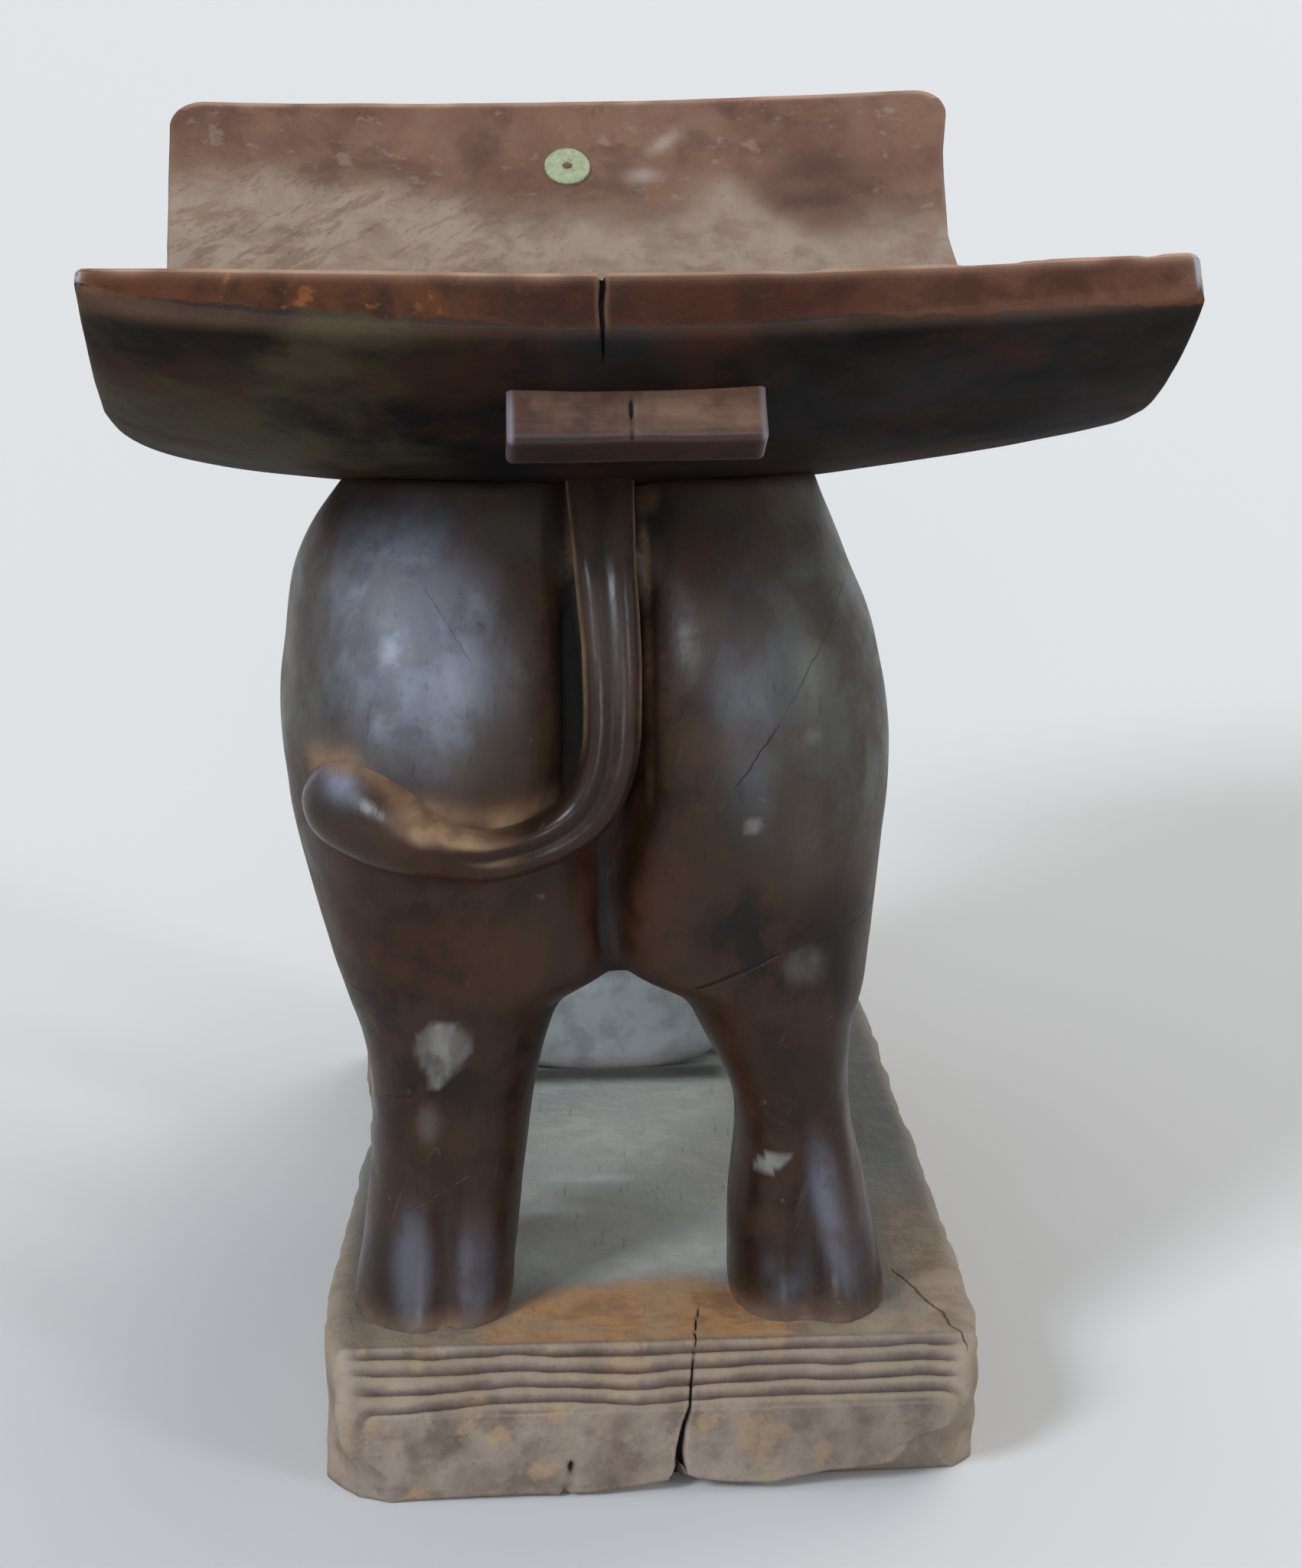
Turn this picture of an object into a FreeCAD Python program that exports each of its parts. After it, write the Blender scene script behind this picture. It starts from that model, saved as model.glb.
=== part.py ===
"""A carved elephant stool: a dished crescent seat on the back of an elephant that stands on a slab.

The real stool is cut from one log, with one small metal disc nailed to its seat. Each carved
member is its own solid here, cut to meet its neighbours face to face. Lengths are millimetres.
+Z is up, +Y runs from the elephant's tail to its head, and +X is on the viewer's right when the
elephant is seen from behind. The origin is on the floor, under the middle of the whole stool.
"""

import FreeCAD, Part
import math
import os

import Sketcher

SIZES = {
    "seat_length": 474,
    "seat_width": 300,
    "seat_dip": 71,
    "seat_middle": 160,
    "seat_middle_radius": 620,
    "seat_thickness": 23,
    "seat_dish": 5,
    "seat_edge": 7,
    "seat_left_waist": 10,
    "seat_right_waist": 15,
    "seat_taper": 3,
    "seat_corner": 6,
    "lug_x": -2,
    "lug_width": 70,
    "lug_length": 16,
    "lug_depth": 14,
    "lug_inset": 28,
    "disc_diameter": 17,
    "disc_thickness": 1.2,
    "disc_inset": 42,
    "nail_shank": 1.6,
    "nail_length": 9,
    "nail_head": 3.6,
    "base_length": 404,
    "base_left": 93,
    "base_left_front": 84,
    "base_right": 108,
    "base_right_bevel": 6,
    "base_height": 44,
    "base_shoulder_rise": 16.5,
    "base_shoulder_run": 13,
    "base_left_wear": 13,
    "base_corner_wear": 26,
    "groove_reach": 168,
    "groove_shift": 4,
    "groove_width": 3,
    "groove_depth": 1.5,
    "elephant_height": 231,
    "left_haunch_x": -52,
    "left_haunch_width": 100,
    "right_haunch_x": 37,
    "right_haunch_width": 85,
    "haunch_depth": 122,
    "torso_x": -6,
    "torso_width": 176,
    "foreleg_x": -1,
    "foreleg_spread": 55,
    "foreleg_width": 46,
    "foreleg_depth": 70,
    "head_x": -2,
    "head_width": 112,
    "trunk_x": -1,
    "trunk_width": 82,
    "trunk_depth": 54,
    "ear_length": 70,
    "ear_height": 104,
    "ear_thickness": 12,
    "ear_spread": 50,
    "tusk_width": 15,
    "tusk_spread": 34,
    "tusk_length": 62,
    "tail_width": 21,
    "tail_depth": 17,
    "tail_root_x": -5,
    "tail_drop": 98,
    "tail_sweep": 76,
}

# Through a leg, level sections: how far up, how far right, how far fore, and its two widths.
LEFT_HIND_SHARES = [
    (0.000, -0.075, -0.254, 0.490, 0.492),
    (0.090, -0.045, -0.221, 0.470, 0.459),
    (0.230, -0.007, -0.200, 0.475, 0.451),
    (0.330, 0.050, -0.176, 0.640, 0.533),
    (0.430, 0.084, -0.148, 0.878, 0.639),
    (0.530, 0.045, -0.102, 0.935, 0.779),
    (0.630, 0.005, -0.045, 0.970, 0.926),
    (0.720, 0.000, 0.000, 1.000, 1.000),
    (0.820, 0.003, 0.020, 0.955, 0.926),
    (0.910, 0.005, 0.016, 0.870, 0.705),
    (1.000, 0.050, 0.020, 0.660, 0.434),
]
RIGHT_HIND_SHARES = [
    (0.000, 0.212, -0.254, 0.565, 0.492),
    (0.090, 0.188, -0.221, 0.518, 0.459),
    (0.230, 0.159, -0.200, 0.412, 0.451),
    (0.330, 0.066, -0.176, 0.590, 0.533),
    (0.430, -0.018, -0.148, 0.872, 0.639),
    (0.530, -0.012, -0.102, 0.942, 0.779),
    (0.630, 0.009, -0.045, 0.982, 0.926),
    (0.720, 0.000, 0.000, 1.000, 1.000),
    (0.820, -0.020, 0.020, 0.925, 0.926),
    (0.910, -0.049, 0.016, 0.772, 0.705),
    (1.000, -0.053, 0.020, 0.576, 0.434),
]
FORELEG_LEFT_SHARES = [
    (0.000, 0.000, 0.000, 0.960, 0.860),
    (0.100, 0.000, 0.000, 0.880, 0.780),
    (0.330, 0.020, 0.000, 0.840, 0.760),
    (0.600, 0.060, 0.000, 0.960, 0.900),
    (0.820, 0.160, 0.000, 1.100, 1.000),
    (1.000, 0.360, 0.000, 0.900, 0.900),
]
FORELEG_SHARES = {
    "left": FORELEG_LEFT_SHARES,
    "right": [(up, -across, *rest) for up, across, *rest in FORELEG_LEFT_SHARES],
}

# Through the torso or the head, upright sections: how far fore, right and up, and its two widths.
TORSO_SHARES = [
    (0.000, 0.020, -0.020, 0.280, 0.560),
    (0.060, 0.010, -0.010, 0.520, 0.760),
    (0.150, 0.000, 0.000, 0.860, 0.940),
    (0.300, 0.000, 0.000, 0.970, 1.000),
    (0.500, 0.005, 0.000, 1.000, 1.000),
    (0.700, 0.010, 0.005, 0.985, 1.000),
    (0.870, 0.018, 0.012, 0.880, 0.940),
    (1.000, 0.022, 0.025, 0.640, 0.760),
]
HEAD_SHARES = [
    (0.000, 0.000, 0.060, 0.780, 0.800),
    (0.200, 0.000, 0.050, 0.900, 0.920),
    (0.480, 0.000, 0.040, 1.000, 1.000),
    (0.740, 0.000, 0.010, 0.880, 0.880),
    (0.920, 0.000, -0.040, 0.620, 0.660),
    (1.000, 0.000, -0.070, 0.380, 0.420),
]

# Along the trunk: how far fore, up and right, its two widths and its lean from level.
TRUNK_SHARES = [
    (0.930, 1.000, 0.000, 0.700, 1.000, 0),
    (0.985, 0.760, 0.000, 0.700, 0.980, 0),
    (0.985, 0.520, 0.000, 0.710, 0.860, -14),
    (0.885, 0.310, 0.010, 0.740, 0.780, -38),
    (0.740, 0.165, 0.025, 0.800, 0.720, -62),
    (0.560, 0.112, 0.045, 0.880, 0.720, -84),
    (0.340, 0.106, 0.070, 0.970, 0.740, -90),
    (0.140, 0.104, 0.085, 1.000, 0.740, -90),
    (0.040, 0.102, 0.090, 1.000, 0.700, -90),
    (0.000, 0.096, 0.090, 0.900, 0.600, -90),
]

# Along the tail: how far down, left and back, its two widths and its turn about the Y direction.
TAIL_SHARES = [
    (0.000, 0.030, 0.180, 0.900, 1.000, 180),
    (0.184, 0.025, 0.300, 0.880, 1.000, 180),
    (0.388, 0.012, 0.380, 0.840, 1.000, 180),
    (0.612, 0.005, 0.440, 0.800, 1.000, 181),
    (0.796, 0.030, 0.470, 0.800, 1.000, 192),
    (0.929, 0.120, 0.480, 0.820, 1.000, 218),
    (1.005, 0.290, 0.487, 0.840, 1.000, 252),
    (1.030, 0.500, 0.515, 0.880, 1.000, 273),
    (1.005, 0.700, 0.510, 0.960, 1.100, 286),
    (0.960, 0.860, 0.455, 1.220, 1.500, 297),
    (0.915, 0.990, 0.415, 1.360, 1.600, 301),
    (0.862, 1.120, 0.370, 0.800, 1.000, 305),
]

# Round an ear: how far fore, how far up, and the bow of the edge that follows.
EAR_SHARES = [
    (0.50, -0.06, 0.13),
    (0.06, 0.50, 0.13),
    (-0.50, 0.10, 0.08),
    (-0.26, -0.42, 0.05),
    (0.14, -0.50, 0.05),
]

# Along a tusk: how far down, how far fore, its width and its lean.
TUSK_SHARES = [
    (0.000, 0.000, 1.000, 20),
    (0.330, 0.110, 0.920, 28),
    (0.640, 0.300, 0.740, 38),
    (0.900, 0.540, 0.420, 48),
]
GROOVES = 4

# Heights above the slab, as shares of the elephant's own: its back, under the seat's middle, is 1.
HEIGHT_SHARES = {
    "hind_top_share": 1.082,
    "tail_root_share": 1.087,
    "ear_share": 0.758,
    "torso_share": 0.732,
    "head_share": 0.732,
    "trunk_root_share": 0.719,
    "fore_top_share": 0.710,
    "tusk_share": 0.576,
}

# Places from the slab's middle towards the head, as shares of the slab's length.
PLACE_SHARES = {
    "torso_back_share": -0.411,
    "haunch_share": -0.295,
    "trunk_tip_share": 0.128,
    "foreleg_share": 0.233,
    "head_back_share": 0.277,
    "torso_front_share": 0.317,
    "ear_share": 0.347,
    "tusk_share": 0.485,
    "trunk_root_share": 0.485,
    "head_front_share": 0.550,
}
TORSO_DEPTH_SHARE = 0.693
HEAD_DEPTH_SHARE = 0.537
CORNER_WEAR_SHARE = 1.6
NAIL_DOME_SHARE = 0.35

ACROSS = FreeCAD.Vector(1, 0, 0)
ALONG = FreeCAD.Vector(0, 1, 0)
LEVEL, UPRIGHT = 0, 90


def make_document():
    """The document and its spreadsheet, with each driving dimension in a cell under its own name."""
    made = FreeCAD.newDocument("elephant_stool")
    cells = made.addObject("Spreadsheet::Sheet", "dims")
    for row, (name, size) in enumerate(SIZES.items(), start=1):
        cells.set(f"A{row}", str(size))
        cells.setAlias(f"A{row}", name)
    made.recompute()
    return made, cells


doc, sheet = make_document()
NODES = []


def value(expression):
    """What an expression of the spreadsheet's names comes to, as a plain number."""
    result = sheet.evalExpression(expression)
    return float(getattr(result, "Value", result))


def vector(*expressions):
    """A point in space or on a sketch, from two or three expressions."""
    return FreeCAD.Vector(*[value(one) for one in expressions])


def rise_of(share):
    """How far above the slab a named height lies."""
    return f"({HEIGHT_SHARES[share]} * dims.elephant_height)"


def height_of(share):
    """How far above the floor a named height lies."""
    return f"(dims.base_height + {rise_of(share)})"


def place_of(share):
    """How far from the middle of the slab towards the head a named place lies."""
    return f"({PLACE_SHARES[share]} * dims.base_length)"


def keep(piece, label):
    """Marks an object as a finished sub-part under its own label."""
    piece.Label = label
    NODES.append(piece)
    return piece


def carve(label, piece, *cutters):
    """A piece with its neighbours cut away from it, so that it seats on them face to face."""
    for cutter in cutters:
        cut = doc.addObject("Part::Cut", label + "_cut")
        cut.Base = piece
        cut.Tool = cutter
        piece = cut
    return keep(piece, label)


def new_body(name):
    body = doc.addObject("PartDesign::Body", name)
    body.Label = name
    return body


def origin_plane(body, role):
    return next(one for one in body.Origin.OriginFeatures if one.Role == role)


def new_sketch(body, name, plane_role):
    """A sketch on one of the origin planes of its own body."""
    sketch = body.newObject("Sketcher::SketchObject", name)
    sketch.AttachmentSupport = [(origin_plane(body, plane_role), "")]
    sketch.MapMode = "FlatFace"
    return sketch


def bind(sketch, kind, *targets, to=None):
    """Adds a constraint, bound to an expression where one is given."""
    if to is None:
        return sketch.addConstraint(Sketcher.Constraint(kind, *targets))
    number = sketch.addConstraint(Sketcher.Constraint(kind, *targets, value(to)))
    sketch.setExpression(f"Constraints[{number}]", to)
    return number


def fixed_point(sketch, geometry, end, across, up):
    """Places one end of a line by its two distances from the sketch's origin."""
    bind(sketch, "DistanceX", -1, 1, geometry, end, to=across)
    bind(sketch, "DistanceY", -1, 1, geometry, end, to=up)


def bowed_edge(sketch, start, end, bow):
    """An arc from start to end that bows to the right of its way, or to the left if bow is below
    zero; gives the edge's number and which of its ends comes first."""
    chord = end - start
    radius = ((chord.Length / 2) ** 2 + bow ** 2) / (2 * abs(bow))
    outward = FreeCAD.Vector(chord.y, -chord.x) * (math.copysign(1, bow) / chord.Length)
    centre = (start + end) / 2 + outward * (abs(bow) - radius)
    angles = [math.atan2(one.y - centre.y, one.x - centre.x) for one in (start, end)]
    if bow < 0:
        angles.reverse()
    circle = Part.Circle(centre, FreeCAD.Vector(0, 0, 1), radius)
    number = sketch.addGeometry(Part.ArcOfCircle(circle, *angles))
    return number, (1, 2) if bow > 0 else (2, 1)


def outline(sketch, corners):
    """A closed outline through corners. Each is two expressions and the bow of the edge that
    leaves it, or None where that edge is straight."""
    edges = []
    for (x, y, bow), (next_x, next_y, _) in zip(corners, corners[1:] + corners[:1]):
        start, end = vector(x, y), vector(next_x, next_y)
        if bow is None:
            edges.append((sketch.addGeometry(Part.LineSegment(start, end)), (1, 2)))
            continue
        number, ends = bowed_edge(sketch, start, end, value(bow))
        half_chord = f"(sqrt(({next_x} - ({x}))^2 + ({next_y} - ({y}))^2) / 2)"
        bind(sketch, "Radius", number, to=f"({half_chord}^2 + ({bow})^2) / (2 * abs({bow}))")
        edges.append((number, ends))
    for (edge, ends), (following, next_ends) in zip(edges, edges[1:] + edges[:1]):
        bind(sketch, "Coincident", edge, ends[1], following, next_ends[0])
    for (edge, ends), (across, up, _) in zip(edges, corners):
        fixed_point(sketch, edge, ends[0], across, up)


def ellipse(sketch, width, depth):
    """An ellipse about the sketch's origin, bound to its two full widths."""
    wide, deep = value(width), value(depth)
    if wide >= deep:
        far, near, lie = FreeCAD.Vector(wide / 2, 0), FreeCAD.Vector(0, deep / 2), "Horizontal"
    else:
        far, near, lie = FreeCAD.Vector(0, deep / 2), FreeCAD.Vector(-wide / 2, 0), "Vertical"
    curve = sketch.addGeometry(Part.Ellipse(far, near, FreeCAD.Vector()))
    sketch.exposeInternalGeometry(curve)
    major, minor = curve + 1, curve + 2
    bind(sketch, "Coincident", curve, 3, -1, 1)
    bind(sketch, lie, major)
    bind(sketch, "Distance", major, to=width if wide >= deep else depth)
    bind(sketch, "Distance", minor, to=depth if wide >= deep else width)


def elliptical_member(name, sections):
    """A loft through elliptical sections.

    Each section is a place in space as three expressions, its two widths and the axis and angle
    that turn it from the level.
    """
    body = new_body(name)
    sketches = []
    for number, (place, width, depth, axis, lean) in enumerate(sections):
        sketch = new_sketch(body, f"{name}_section_{number}", "XY_Plane")
        sketch.AttachmentOffset = FreeCAD.Placement(vector(*place), FreeCAD.Rotation(axis, lean))
        for letter, expression in zip("xyz", place):
            sketch.setExpression(f"AttachmentOffset.Base.{letter}", expression)
        ellipse(sketch, width, depth)
        sketches.append(sketch)
    loft = body.newObject("PartDesign::AdditiveLoft", f"{name}_loft")
    loft.Profile = sketches[0]
    loft.Sections = sketches[1:]
    body.Tip = loft
    return body


BACK = "(dims.base_height + dims.elephant_height)"
FOOT = f"({BACK} + dims.seat_thickness)"
MIDDLE_RADIUS = "dims.seat_middle_radius"
MIDDLE_ANGLE = f"asin(dims.seat_middle / 2 / {MIDDLE_RADIUS})"
TIP_RUN = "((dims.seat_length - dims.seat_middle) / 2)"
TIP_RISE = f"(dims.seat_dip - {MIDDLE_RADIUS} * (1 - cos({MIDDLE_ANGLE})))"
TIP_ANGLE = f"(2 * atan({TIP_RISE} / {TIP_RUN}) - {MIDDLE_ANGLE})"
TIP_RADIUS = f"({TIP_RUN} / (sin({TIP_ANGLE}) - sin({MIDDLE_ANGLE})))"
TIP_CENTRE_Y = f"(({MIDDLE_RADIUS} - {TIP_RADIUS}) * sin({MIDDLE_ANGLE}))"
TIP_CENTRE = f"({FOOT} + {MIDDLE_RADIUS} - ({MIDDLE_RADIUS} - {TIP_RADIUS}) * cos({MIDDLE_ANGLE}))"
DISC_ANGLE = f"({TIP_ANGLE} - dims.disc_inset / {TIP_RADIUS} * 180 deg / pi)"


def seat_section(body, radius):
    """The seat cut across its middle, with the line, a radius above, that the crescent turns about:
    a shallow dish above, two thin upright edges, and below a keel that is a quarter of an ellipse
    on its full left side and a flatter round arc on its right."""
    half, lip, pivot_height = "dims.seat_width / 2", f"{FOOT} + dims.seat_dish", f"{FOOT} + {radius}"
    edge = f"{lip} - dims.seat_edge"
    keel = "(dims.seat_thickness + dims.seat_dish - dims.seat_edge)"
    dish_radius = f"(({half})^2 + dims.seat_dish^2) / (2 * dims.seat_dish)"
    keel_radius = f"(({half})^2 + {keel}^2) / (2 * {keel})"
    sketch = new_sketch(body, "seat_section", "XZ_Plane")
    right = sketch.addGeometry(Part.LineSegment(vector(half, edge), vector(half, lip)))
    left = sketch.addGeometry(Part.LineSegment(vector(f"-{half}", lip), vector(f"-{half}", edge)))
    pivot_ends = vector(f"-{half}", pivot_height), vector(half, pivot_height)
    pivot = sketch.addGeometry(Part.LineSegment(*pivot_ends), True)
    dish_centre = vector("0", f"{lip} - dims.seat_dish + {dish_radius}")
    dish = level_arc(sketch, dish_centre, value(dish_radius), value(half), both_ways=True)
    keel_centre = vector("0", f"{edge} - {keel} + {keel_radius}")
    flat_keel = level_arc(sketch, keel_centre, value(keel_radius), value(half), both_ways=False)
    curve = Part.Ellipse(vector("0", edge), value(half), value(keel))
    full_keel = sketch.addGeometry(Part.ArcOfEllipse(curve, math.pi, 1.5 * math.pi))
    bind(sketch, "Coincident", right, 2, dish, 2)
    bind(sketch, "Coincident", left, 1, dish, 1)
    bind(sketch, "Coincident", left, 2, full_keel, 1)
    bind(sketch, "Coincident", full_keel, 2, flat_keel, 1)
    bind(sketch, "Coincident", flat_keel, 2, right, 1)
    bind(sketch, "Radius", dish, to=dish_radius)
    fixed_point(sketch, full_keel, 3, "0", edge)
    fixed_point(sketch, flat_keel, 1, "0", f"{edge} - {keel}")
    bind(sketch, "Radius", flat_keel, to=keel_radius)
    fixed_point(sketch, right, 1, half, edge)
    fixed_point(sketch, right, 2, half, lip)
    fixed_point(sketch, left, 1, f"-{half}", lip)
    fixed_point(sketch, left, 2, f"-{half}", edge)
    fixed_point(sketch, pivot, 1, f"-{half}", pivot_height)
    fixed_point(sketch, pivot, 2, half, pivot_height)
    return sketch


def level_arc(sketch, centre, radius, reach, both_ways):
    """The lowest stretch of a circle, out to a reach on its right, and as far on its left or not."""
    swing, down = math.asin(reach / radius), -math.pi / 2
    circle = Part.Circle(centre, FreeCAD.Vector(0, 0, 1), radius)
    return sketch.addGeometry(Part.ArcOfCircle(circle, down - swing if both_ways else down, down + swing))


def turned_section(name, radius, angle):
    """The seat's section turned through an angle, half of it each way, about the line above it."""
    body = new_body(name)
    section = seat_section(body, radius)
    turn = body.newObject("PartDesign::Revolution", f"{name}_turn")
    turn.Profile = section
    turn.ReferenceAxis = (section, ["Axis0"])
    turn.Midplane = True
    turn.setExpression("Angle", angle)
    body.Tip = turn
    return body


def make_seat_form():
    """The crescent, a wide arc that goes over into a tighter one towards each tip, trimmed to its
    waisted plan."""
    arcs = [turned_section("seat_middle", MIDDLE_RADIUS, f"2 * {MIDDLE_ANGLE}")]
    for name, end in (("seat_rear_rise", -1), ("seat_front_rise", 1)):
        rise = turned_section(name, TIP_RADIUS, f"{TIP_ANGLE} - {MIDDLE_ANGLE}")
        on_rise(rise, end, "0", "0", f"({FOOT} + {TIP_RADIUS})", f"({TIP_ANGLE} + {MIDDLE_ANGLE}) / 2")
        arcs.append(rise)
    crescent = doc.addObject("Part::MultiFuse", "seat_crescent")
    crescent.Shapes = arcs
    plan = new_body("seat_plan")
    side, end = "dims.seat_width / 2", "(dims.seat_length / 2 + dims.seat_thickness)"
    shoulder = "(dims.seat_length / 2 - dims.seat_corner)"
    cut, taper = "dims.seat_corner + dims.seat_thickness", "dims.seat_taper"
    corners = [
        (f"-({side} - ({cut}))", f"-{end}", None),
        (f"{side} - ({cut})", f"-{end}", None),
        (side, f"-{shoulder}", "-dims.seat_right_waist"),
        (f"{side} - {taper}", shoulder, None),
        (f"{side} - {taper} - ({cut})", end, None),
        (f"-({side} - ({cut}))", end, None),
        (f"-({side})", shoulder, "-dims.seat_left_waist"),
        (f"-({side})", f"-{shoulder}", None),
    ]
    pad_up(plan, "seat_plan", corners, f"{BACK} + 2 * (dims.seat_thickness + dims.seat_dip)")
    form = doc.addObject("Part::Common", "seat_form")
    form.Base = crescent
    form.Tool = plan
    return form


def pad_up(body, name, corners, height):
    """Pads an outline on the floor plane up to a height."""
    sketch = new_sketch(body, f"{name}_outline", "XY_Plane")
    outline(sketch, corners)
    pad = body.newObject("PartDesign::Pad", f"{name}_pad")
    pad.Profile = sketch
    pad.setExpression("Length", height)
    body.Tip = pad
    return pad


def on_rise(piece, end, across, along, outward, angle):
    """Places a piece that is built level, then swung up one end of the seat, -1 rear or 1 front.

    across, along and outward are where its own origin lies before the swing, the last measured
    down from the centre line of that end's arc.
    """
    swing = f"({end} * ({angle}))"
    piece.Placement = FreeCAD.Placement(FreeCAD.Vector(), FreeCAD.Rotation(ACROSS, value(swing)))
    piece.setExpression("Placement.Base.x", across)
    reach = f"({along}) * cos({swing}) + ({outward}) * sin({swing})"
    piece.setExpression("Placement.Base.y", f"{end} * {TIP_CENTRE_Y} + {reach}")
    lift = f"({along}) * sin({swing}) - ({outward}) * cos({swing})"
    piece.setExpression("Placement.Base.z", f"{TIP_CENTRE} + {lift}")
    piece.setExpression("Placement.Rotation.Angle", swing)


def make_lug_form(name, end):
    """A plain block that juts from the seat's underside near one tip; end is -1 or 1."""
    under = f"({TIP_RADIUS} + dims.seat_thickness)"
    turn_in = f"(dims.lug_inset + dims.lug_length / 2) / {under} * 180 deg / pi"
    block = doc.addObject("Part::Box", name)
    block.setExpression("Length", "dims.lug_width")
    block.setExpression("Width", "dims.lug_length")
    block.setExpression("Height", "dims.lug_depth + dims.seat_thickness / 2")
    on_rise(block, end, "dims.lug_x - dims.lug_width / 2", "-dims.lug_length / 2",
            f"{under} + dims.lug_depth", f"{TIP_ANGLE} - {turn_in}")
    return block


def make_disc_form():
    disc = doc.addObject("Part::Cylinder", "disc_form")
    disc.setExpression("Radius", "dims.disc_diameter / 2")
    disc.setExpression("Height", "2 * dims.disc_thickness")
    on_rise(disc, 1, "0", "0", f"{TIP_RADIUS} + dims.disc_thickness", DISC_ANGLE)
    return disc


def make_nail():
    """A short round nail with a domed head, driven through the disc into the seat."""
    body = new_body("nail_form")
    shank, top = "dims.nail_shank / 2", "dims.disc_thickness"
    dome = f"{top} + {NAIL_DOME_SHARE} * dims.nail_head / 2"
    sketch = new_sketch(body, "nail_profile", "XZ_Plane")
    outline(sketch, [
        ("0", "-dims.nail_length", None),
        (shank, "-dims.nail_length", None),
        (shank, top, None),
        ("dims.nail_head / 2", top, None),
        ("dims.nail_head / 4", dome, None),
        ("0", dome, None),
    ])
    turn = body.newObject("PartDesign::Revolution", "nail_turn")
    turn.Profile = sketch
    turn.ReferenceAxis = (sketch, ["V_Axis"])
    body.Tip = turn
    on_rise(body, 1, "0", "0", TIP_RADIUS, DISC_ANGLE)
    return body


def make_base():
    """The slab: its long profile with a sloped shoulder at each end, trimmed to the worn plan, and
    four grooves carved across each shoulder."""
    profile = new_body("base_profile")
    sketch = new_sketch(profile, "base_side", "YZ_Plane")
    sketch.setExpression("AttachmentOffset.Base.z", "-dims.base_left")
    end, foot = "dims.base_length / 2", "dims.base_height - dims.base_shoulder_rise"
    brow = f"{end} - dims.base_shoulder_run"
    outline(sketch, [
        (f"-({end})", "0", None),
        (end, "0", None),
        (end, foot, None),
        (brow, "dims.base_height", None),
        (f"-({brow})", "dims.base_height", None),
        (f"-({end})", foot, None),
    ])
    pad = profile.newObject("PartDesign::Pad", "base_pad")
    pad.Profile = sketch
    pad.setExpression("Length", "dims.base_left + dims.base_right")
    profile.Tip = pad
    groove_shoulders(profile, end, foot)
    plan = new_body("base_plan")
    left, right = "-dims.base_left", "dims.base_right"
    wear, chip = "dims.base_corner_wear", "dims.base_corner_wear / 2"
    pad_up(plan, "base_plan", [
        (f"{left} + {chip}", f"-({end})", None),
        (f"{right} - {wear}", f"-({end})", None),
        (right, f"-({end} - {CORNER_WEAR_SHARE} * {wear})", None),
        (right, f"{end} - {chip}", None),
        (f"{right} - {chip}", end, None),
        (f"-dims.base_left_front + {chip}", end, None),
        ("-dims.base_left_front", f"{end} - {chip}", "-dims.base_left_wear"),
        (left, f"-({end} - {chip})", None),
    ], "dims.base_height")
    slab = doc.addObject("Part::Common", "base_slab")
    slab.Base = profile
    slab.Tool = plan
    return carve("base", slab, make_edge_bevel())


def make_edge_bevel():
    """What wear has taken off the slab's right upper edge, from end to end."""
    body = new_body("base_bevel")
    sketch = new_sketch(body, "base_bevel_section", "XZ_Plane")
    sketch.setExpression("AttachmentOffset.Base.z", "-dims.base_length")
    top, right = "dims.base_height", "dims.base_right"
    outline(sketch, [
        (right, f"{top} - dims.base_shoulder_rise", None),
        (f"{right} + dims.base_right_bevel", f"{top} - dims.base_shoulder_rise", None),
        (f"{right} + dims.base_right_bevel", f"{top} + dims.base_right_bevel", None),
        (f"{right} - dims.base_right_bevel", f"{top} + dims.base_right_bevel", None),
        (f"{right} - dims.base_right_bevel", top, None),
    ])
    pad = body.newObject("PartDesign::Pad", "base_bevel_pad")
    pad.Profile = sketch
    pad.setExpression("Length", "2 * dims.base_length")
    body.Tip = pad
    return body


def groove_shoulders(profile, end, foot):
    """Four V-shaped grooves along the rear shoulder, mirrored onto the front one."""
    doc.recompute()
    whole = profile.Shape.Volume
    sketch = new_sketch(profile, "groove_section", "YZ_Plane")
    sketch.setExpression("AttachmentOffset.Base.z", "-dims.groove_reach / 2 + dims.groove_shift")
    slope = "sqrt(dims.base_shoulder_rise^2 + dims.base_shoulder_run^2)"
    along = "dims.base_shoulder_run", "dims.base_shoulder_rise"
    for number in range(1, GROOVES + 1):
        middle = f"{number} / {GROOVES + 1}"
        half = f"dims.groove_width / 2 / {slope}"
        corners = []
        lips_and_floor = (f"({middle} - {half})", "0"), (f"({middle})", "1"), (f"({middle} + {half})", "0")
        for share, sink in lips_and_floor:
            inward = f"{sink} * dims.groove_depth / {slope}"
            corners.append((
                f"-({end}) + {share} * {along[0]} + {inward} * {along[1]}",
                f"{foot} + {share} * {along[1]} - {inward} * {along[0]}",
                None,
            ))
        outline(sketch, corners)
    pocket = profile.newObject("PartDesign::Pocket", "rear_grooves")
    pocket.Profile = sketch
    pocket.Reversed = True
    pocket.setExpression("Length", "dims.groove_reach")
    profile.Tip = pocket
    doc.recompute()
    if not profile.Shape.Volume < whole:
        raise ValueError("the grooves cut nothing")
    mirrored = profile.newObject("PartDesign::Mirrored", "front_grooves")
    mirrored.Originals = [pocket]
    mirrored.MirrorPlane = (origin_plane(profile, "XZ_Plane"), [""])
    profile.Tip = mirrored


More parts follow.
